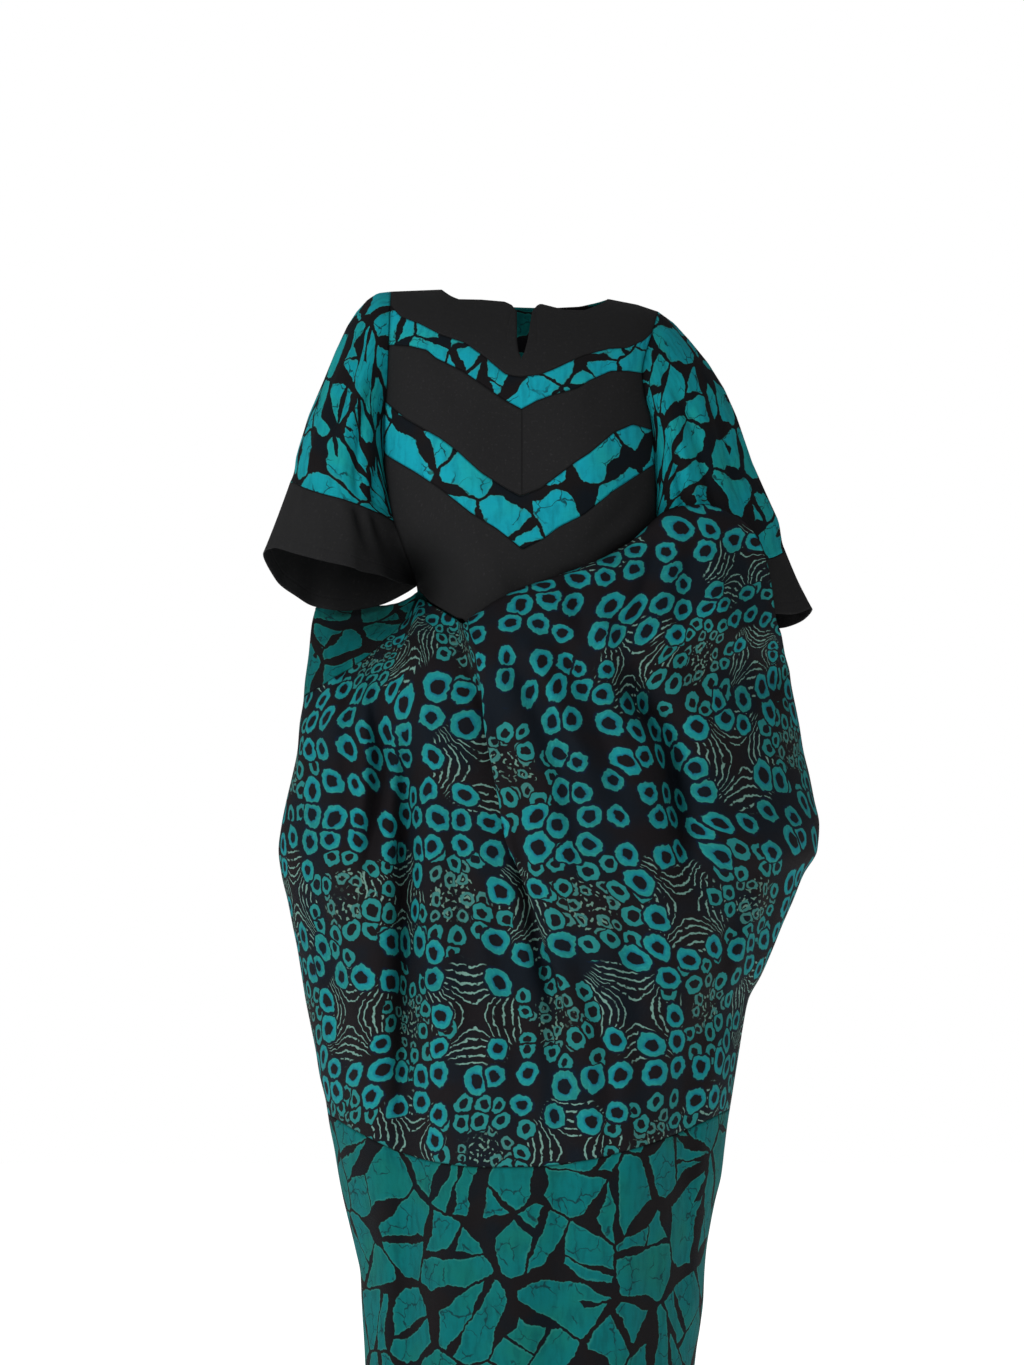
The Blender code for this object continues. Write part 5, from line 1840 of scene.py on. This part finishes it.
@dataclass(frozen=True)
class BrokenPrint(Finish):
    """Black cotton printed with broken teal pieces.

    Attributes:
        teal: main print colour.
        size: metres from piece to piece.
        gap: how wide the gaps are.
        split: share of the pieces that are broken again.
        shift: where the print starts.
    """

    teal: Colour = rgba(0.005, 0.20, 0.21)
    size: float = 0.100
    gap: float = 1.0
    split: float = 0.6
    shift: tuple[float, float, float] = (0.0, 0.0, 0.0)

    def colour(self, graph: Graph, uv: Socket) -> Socket:
        """Draw the pieces with light rims and fine veins.

        Args:
            graph: the material's graph.
            uv: print coordinates.

        Returns:
            The colour.
        """
        at = graph.wobble(graph.vector("ADD", uv, self.shift), 60.0, 0.006)
        at = graph.wobble(at, 240.0, 0.0022)
        inside = self.pieces(graph, at)
        vein = graph.borders(graph.wobble(at, 90.0, 0.012), 0.021, 1.0)
        vein = graph.step(0.00105, 0.0003, vein) * graph.step(0.44, 0.56, graph.noise(at, 26.0, 1.0))
        streak = graph.noise(graph.vector("MULTIPLY", at, (1.0, 0.25, 1.0)), 130.0, 3.0)
        cloud = graph.noise(at, 14.0)
        rim = graph.step(0.0024, 0.0004, inside) * (0.2 + 1.1 * streak)
        red, green, blue, _ = self.teal
        leaf = rgba(red * 1.4 + 0.002, green * 1.03, blue * 0.84)
        dark = rgba(0.60 * red, 0.60 * green, 0.60 * blue)
        teal = graph.mix(graph.step(0.40, 0.75, cloud), self.teal, leaf)
        teal = graph.mix(0.60 * graph.step(0.40, 0.75, streak), teal, dark)
        teal = graph.mix(0.90 * vein, teal, PIECE_VEIN)
        teal = graph.mix(graph.math("MINIMUM", 0.5 * rim, 1.0), teal, PIECE_RIM)
        ground = graph.mix(graph.step(0.40, 0.70, cloud), PIECE_GROUND, PIECE_GROUND_BLUE)
        return graph.mix(graph.step(0.0, 0.0006, inside), ground, teal)

    def pieces(self, graph: Graph, at: Socket) -> Num:
        """Break the cloth into pieces with wide gaps, and some of them again with narrow ones.

        Args:
            graph: the material's graph.
            at: where to read them.

        Returns:
            Metres inside the nearest piece, negative in the gaps.
        """
        taper = graph.math("MAXIMUM", graph.noise(at, 1.5 / self.size, 0.0) - 0.36, 0.0)
        wide = graph.borders(at, self.size, 1.0) - self.size * self.gap * (0.020 + 0.36 * taper)
        _, middle, chance = graph.cells(at, self.size, 1.0)
        x, y = graph.parts(graph.vector("SUBTRACT", at, middle))
        turn, skew, spread = graph.parts(chance, 3)

        def cut(angle: Num, off: Num) -> Num:
            """Give metres past a straight cut across a piece."""
            return x * graph.math("COSINE", angle) + y * graph.math("SINE", angle) + off

        first = cut(turn * math.pi, (spread - 0.5) * (0.34 * self.size))
        second = cut(turn * math.pi + 1.0 + 0.9 * spread, (skew - 0.5) * (0.30 * self.size))
        one_side = (first < 0.0) + (spread > 0.7 * self.split)
        first = abs(first) + (skew > self.split)
        second = abs(second) + one_side
        other = self.size * self.gap * 0.62 * (0.105 - 0.30 * taper)
        narrow = graph.math("MINIMUM", first, second) - graph.math("MAXIMUM", other, 0.010 * self.size)
        return graph.math("MINIMUM", wide, narrow)


@dataclass(frozen=True)
class RingSize:
    """One size of printed rings, in metres.

    Attributes:
        size: from ring to ring.
        start: where this size starts, so that it doesn't follow another.
        near: how close to a dark spot it comes.
        far: how far from a dark spot it goes.
        edge: how soft its edges are.
    """

    size: float
    start: float
    near: float
    far: float
    edge: float = 0.0007


@dataclass(frozen=True)
class Rings:
    """Where the rings of one size are.

    Attributes:
        inside: metres inside a ring's outline.
        hole: metres out of its hole.
        middle: its middle.
        away: metres from its middle to the nearest dark spot.
        shown: one where this size is printed.
        band: one on its rings.
    """

    inside: Num
    hole: Num
    middle: Socket
    away: Num
    shown: Num
    band: Num


@dataclass(frozen=True)
class RingPrint(Finish):
    """Black cotton printed with teal rings, smaller rings round dark spots, and fans of fine lines.

    Attributes:
        lattice: metres from one dark spot to the next across and up.
        waves: scale and reach of the wobbles that make it look drawn by hand.
        large: the large rings.
        medium: the rings round the dark spots.
        small: the rings next to the dark spots.
        fan_clear: metres from a fan's middle that the large rings keep.
        fan_reach: length of a fan's lines.
        fan_step: from line to line.
    """

    lattice: tuple[float, float] = (0.190, 0.132)
    waves: Table = ((6.0, 0.026), (34.0, 0.008), (150.0, 0.0042))
    large: RingSize = RingSize(0.0335, 0.0, 0.050, 2.0 * FAR)
    medium: RingSize = RingSize(0.73 * 0.0335, 1.37, 0.028, 0.062)
    small: RingSize = RingSize(0.50 * 0.0335, 2.61, 0.0125, 0.034, 0.0006)
    fan_clear: float = 0.034
    fan_reach: float = 0.056
    fan_step: float = 0.0088

    def centres(self, graph: Graph, at: Socket, shift: float, dropped: float) -> Socket:
        """Find the nearest point of a staggered lattice.

        Args:
            graph: the material's graph.
            at: where to read it.
            shift: metres that the lattice is moved across.
            dropped: share of its points that are moved far off.

        Returns:
            The point.
        """
        wide, tall = self.lattice
        x, y = graph.parts(at)
        x = x + shift
        _, spot, chance = graph.cells(graph.point(x / wide - y / (2.0 * tall), y / tall), 1.0, 0.26)
        across, up = graph.parts(spot)
        drop = (graph.parts(chance)[0] < dropped) * FAR
        return graph.point((across + up * 0.5) * wide - shift + drop, up * tall)

    def rings(self, graph: Graph, at: Socket, kind: RingSize, spot: Socket) -> Rings:
        """Add one size of rings.

        Args:
            graph: the material's graph.
            at: where to read them.
            kind: the size.
            spot: the nearest dark spot.

        Returns:
            Where they are.
        """
        shift = (kind.start, 1.7 * kind.start, 0.0)
        moved = graph.vector("ADD", at, shift)
        from_middle, middle, chance = graph.cells(moved, kind.size, 0.55)
        middle = graph.vector("SUBTRACT", middle, shift)
        radius = kind.size * (0.345 + 0.125 * graph.parts(chance)[0])
        edge = graph.borders(moved, kind.size, 0.55) - 0.045 * kind.size
        inside = graph.math("SMOOTH_MIN", edge, radius - from_middle, 0.07 * kind.size)
        hole = from_middle - 0.45 * radius
        away = graph.distance(middle, spot)
        shown = (away < kind.far) * (away > kind.near)
        band = graph.step(0.0, kind.edge, inside) * graph.step(0.0, kind.edge, hole)
        return Rings(inside, hole, middle, away, shown, band)

    def colour(self, graph: Graph, uv: Socket) -> Socket:
        """Lay the large rings over the smaller ones, the flecks, the fans and the ground.

        Args:
            graph: the material's graph.
            uv: print coordinates.

        Returns:
            The colour.
        """
        at = uv
        for scale, reach in self.waves:
            at = graph.wobble(at, scale, reach)
        spot = self.centres(graph, at, 0.0, 0.20)
        fan = self.centres(graph, at, 0.5 * self.lattice[0], 0.14)
        kinds = (self.large, self.medium, self.small)
        large, medium, small = (self.rings(graph, at, kind, spot) for kind in kinds)
        shown = large.shown * (graph.distance(large.middle, fan) > self.fan_clear)
        covered = shown * graph.step(-0.0030, -0.0020, large.inside)
        medium_shown = medium.shown * (1.0 - covered)
        covered = graph.math("MAXIMUM", covered, medium_shown * graph.step(-0.0022, -0.0014, medium.inside))
        free = 1.0 - covered
        brush = graph.noise(at, 210.0, 3.0)
        cloud = graph.noise(at, 12.0)
        halo = graph.step(-0.0021, -0.0003, large.inside) * graph.step(0.0006, 0.0, large.inside) * shown
        found = graph.mix(graph.step(0.40, 0.66, cloud), RING_GROUND, RING_GROUND_BLUE)
        found = graph.mix(0.55 * halo, found, RING_HALO)
        found = graph.mix(self.lines(graph, at, fan) * free, found, FAN_LINE)
        found = graph.mix(self.flecks(graph, at, small.away) * free, found, FLECK)
        found = graph.mix(0.9 * small.band * small.shown * free, found, SMALL_TEAL)
        found = graph.mix(0.95 * medium.band * medium_shown, found, MEDIUM_TEAL)
        return graph.mix(large.band * shown, found, self.teal(graph, large, cloud, brush))

    def teal(self, graph: Graph, large: Rings, cloud: Num, brush: Num) -> Socket:
        """Give the teal of the large rings, bluer at the hole and greener at the rim."""
        teal = graph.mix(graph.step(0.38, 0.70, cloud), RING_TEAL, RING_GREEN)
        teal = graph.mix(0.5 * graph.step(0.45, 0.75, brush), teal, RING_BRUSHED)
        blue = graph.step(0.0030, 0.0004, large.hole) * (0.1 + brush)
        teal = graph.mix(graph.math("MINIMUM", blue, 0.8), teal, RING_BLUE)
        rim = graph.step(0.0020, 0.0005, large.inside) * brush
        return graph.mix(graph.math("MINIMUM", 1.3 * rim, 0.8), teal, RING_RIM)

    def lines(self, graph: Graph, at: Socket, fan: Socket) -> Num:
        """Give the fine lines that fan out on four sides of a point.

        Args:
            graph: the material's graph.
            at: where to read them.
            fan: the point.

        Returns:
            One on the lines.
        """
        x, y = graph.parts(graph.vector("SUBTRACT", at, fan))
        reach = graph.math("SQRT", abs(x * x - y * y))
        wave = abs(graph.math("FRACT", reach / self.fan_step) - 0.5)
        away = graph.math("SQRT", x * x + y * y) + 0.018 * (graph.noise(at, 30.0, 1.0) - 0.5)
        broken = graph.step(0.31, 0.39, graph.noise(at, 130.0, 1.0))
        ends = graph.step(self.fan_reach, self.fan_reach - 0.005, away) * graph.step(0.005, 0.008, reach)
        return graph.step(0.145, 0.075, wave) * ends * broken

    def flecks(self, graph: Graph, at: Socket, away: Num) -> Num:
        """Give the pale flecks between the smallest rings."""
        grain = graph.step(0.64, 0.69, graph.noise(at, 260.0, 0.0))
        return 0.8 * grain * graph.step(0.026, 0.020, away) * graph.step(0.004, 0.007, away)


BLACK = PlainBlack("plain black cotton")
BLACK_SEAMED = PlainBlack("plain black cotton with a centre seam", centre_seam=True)
CHEVRON = BrokenPrint("broken print, chevrons", teal=rgba(0.004, 0.285, 0.360), size=0.054, gap=1.25,
                      split=0.45, shift=(0.31, 0.17, 0.0))
SLEEVE = BrokenPrint("broken print, sleeves", teal=rgba(0.003, 0.255, 0.300), size=0.052, gap=1.45,
                     split=0.30, shift=(0.9, 0.4, 0.0))
BORDER = BrokenPrint("broken print, border", teal=rgba(0.0004, 0.121, 0.125), size=0.074, gap=0.90,
                     split=0.88, shift=(1.6, 0.9, 0.0))
RINGS = RingPrint("ring print")


def robe() -> list[ClothPiece]:
    """List the fifteen cloth pieces: solid, finish, flat size, flat area, and what differs."""
    right = Sleeve(-1, UNDERARM_RIGHT[1], seam_up=-0.2495, arm_up=-0.2268)
    left = Sleeve(1, UNDERARM_LEFT[1], seam_up=-0.2592, arm_up=-0.2365)
    back, none = Side.BACK, Side.NONE
    return [
        Yoke("front_yoke", BLACK, (0.30, 0.12), 0.027, cells=(100, 30)),
        Panel("chevron_upper", CHEVRON, (0.36, 0.034), 0.0098, cells=(100, 14), top=YOKE_EDGE,
              bottom=CHEVRON_ONE_EDGE),
        Panel("front_chest", BLACK_SEAMED, (0.33, 0.13), 0.026, cells=(100, 24), top=CHEVRON_ONE_EDGE,
              bottom=CHEVRON_TWO_TOP),
        Panel("chevron_lower", CHEVRON, (0.40, 0.05), 0.0175, cells=(100, 18), top=CHEVRON_TWO_TOP,
              bottom=CHEVRON_TWO_EDGE),
        Panel("front_midriff", BLACK, (0.34, 0.21), 0.050, cells=(100, 40), top=CHEVRON_TWO_EDGE,
              bottom=MIDRIFF_EDGE),
        Wedge("front_side_right", BORDER, (0.20, 0.13), 0.0168, cells=(60, 30)),
        FrontBody("front_body", RINGS, (0.95, 0.72), 0.46, cells=(200, 190), middle=FOLD_START),
        FrontBorder("front_border", BORDER, (0.60, 0.52), 0.285, Held.HUNG, cells=(200, 110),
                    middle=FOLD_START, hemmed=True),
        BackUpper("back_upper", BORDER, (0.62, 0.46), 0.172, cells=(72, 70), side=back, start=(0.37, 0.11)),
        Skirt("back_body", RINGS, (0.74, 0.48), 0.315, Held.HUNG, cells=(150, 120), side=back,
              start=(0.43, 0.19)),
        Skirt("back_border", BORDER, (0.56, 0.50), 0.262, Held.HUNG, cells=(150, 110), side=back,
              start=(0.29, 0.07), hemmed=True, border=True),
        SleevePiece("sleeve_right", SLEEVE, (0.48, 0.26), 0.065, cells=(140, 60), side=none, sleeve=right),
        SleevePiece("cuff_right", BLACK, (0.56, 0.075), 0.036, cells=(140, 24), side=none, sleeve=right,
                    cuff=True),
        SleevePiece("sleeve_left", SLEEVE, (0.50, 0.28), 0.078, cells=(140, 60), side=none,
                    start=(0.21, 0.33), sleeve=left),
        SleevePiece("cuff_left", BLACK, (0.56, 0.07), 0.030, cells=(140, 24), side=none, sleeve=left,
                    cuff=True),
    ]


@dataclass(frozen=True)
class Softbox:
    """A large soft light.

    Attributes:
        label: name of the light.
        spot: where it stands.
        target: what it points at.
        size: side of its square in metres.
        power: watts.
    """

    label: str
    spot: Spot
    target: Spot
    size: float
    power: float

    def build(self) -> None:
        """Add the light."""
        data = bpy.data.lights.new(self.label, "AREA")
        data.energy = self.power
        data.size = self.size
        made = bpy.data.objects.new(self.label, data)
        made.location = self.spot
        made.rotation_euler = (Vector(self.target) - Vector(self.spot)).to_track_quat("-Z", "Y").to_euler()
        bpy.context.scene.collection.objects.link(made)


@dataclass(frozen=True)
class Studio:
    """The floor, the lights, the background and the camera.

    Attributes:
        lights: the soft lights.
        floor_side: metres.
        floor_glow: how much light the floor gives back by itself.
        room_light: how bright the background is for all but the camera.
        lens: focal length in millimetres.
    """

    lights: tuple[Softbox, ...] = (
        Softbox("key", (-2.2, -2.4, 1.1), (0.0, 0.0, -0.5), 1.8, 79.0),
        Softbox("fill", (1.6, -2.8, 0.3), (0.0, 0.0, -0.6), 2.4, 9.0),
        Softbox("low", (0.2, -3.2, -1.0), (0.0, 0.0, -0.9), 1.8, 6.0),
    )
    floor_side: float = 6.0
    floor_glow: float = 0.75
    room_light: float = 0.31
    lens: float = 83.0

    def floor(self) -> None:
        """Lay a pale floor."""
        bpy.ops.object.select_all(action="DESELECT")
        bpy.ops.mesh.primitive_plane_add(size=self.floor_side, location=(0.0, 0.0, FLOOR_LEVEL))
        floor = bpy.context.object
        floor.name = "floor"
        graph = Graph("pale floor")
        looks = {"Base Color": rgba(0.93, 0.93, 0.93), "Roughness": 0.95,
                 "Emission Color": rgba(1.0, 1.0, 1.0), "Emission Strength": self.floor_glow}
        for name, value in looks.items():
            graph.feed(graph.shader.inputs[name], value)
        floor.data.materials.append(graph.material)

    def background(self) -> None:
        """Set a white background that lights the robe only a little."""
        world = bpy.data.worlds.new("white")
        world.use_nodes = True
        nodes, links = world.node_tree.nodes, world.node_tree.links
        seen = nodes.new("ShaderNodeLightPath")
        strength = nodes.new("ShaderNodeMapRange")
        strength.inputs["To Min"].default_value = self.room_light
        nodes["Background"].inputs["Color"].default_value = rgba(1.0, 1.0, 1.0)
        links.new(seen.outputs["Is Camera Ray"], strength.inputs["Value"])
        links.new(strength.outputs[0], nodes["Background"].inputs["Strength"])
        bpy.context.scene.world = world
        bpy.context.scene.view_settings.view_transform = "Standard"

    def camera(self) -> None:
        """Put the camera on the line of sight."""
        data = bpy.data.cameras.new("camera")
        data.lens = self.lens
        data.sensor_width = 36.0
        data.clip_end = 50.0
        camera = bpy.data.objects.new("camera", data)
        camera.location = (SIGHT_ACROSS, -SIGHT_DISTANCE, SIGHT_UP)
        camera.rotation_euler = (math.pi / 2.0, 0.0, 0.0)
        bpy.context.scene.collection.objects.link(camera)
        bpy.context.scene.camera = camera

    def build(self) -> None:
        """Set up everything round the robe."""
        self.floor()
        for light in self.lights:
            light.build()
        self.background()
        self.camera()


def main() -> None:
    """Build the robe and its studio, and note the sizes."""
    logging.basicConfig(level=logging.INFO, format="%(name)s: %(message)s")
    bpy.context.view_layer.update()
    for piece in robe():
        piece.build()
    Studio().build()


if __name__ == "__main__":
    main()
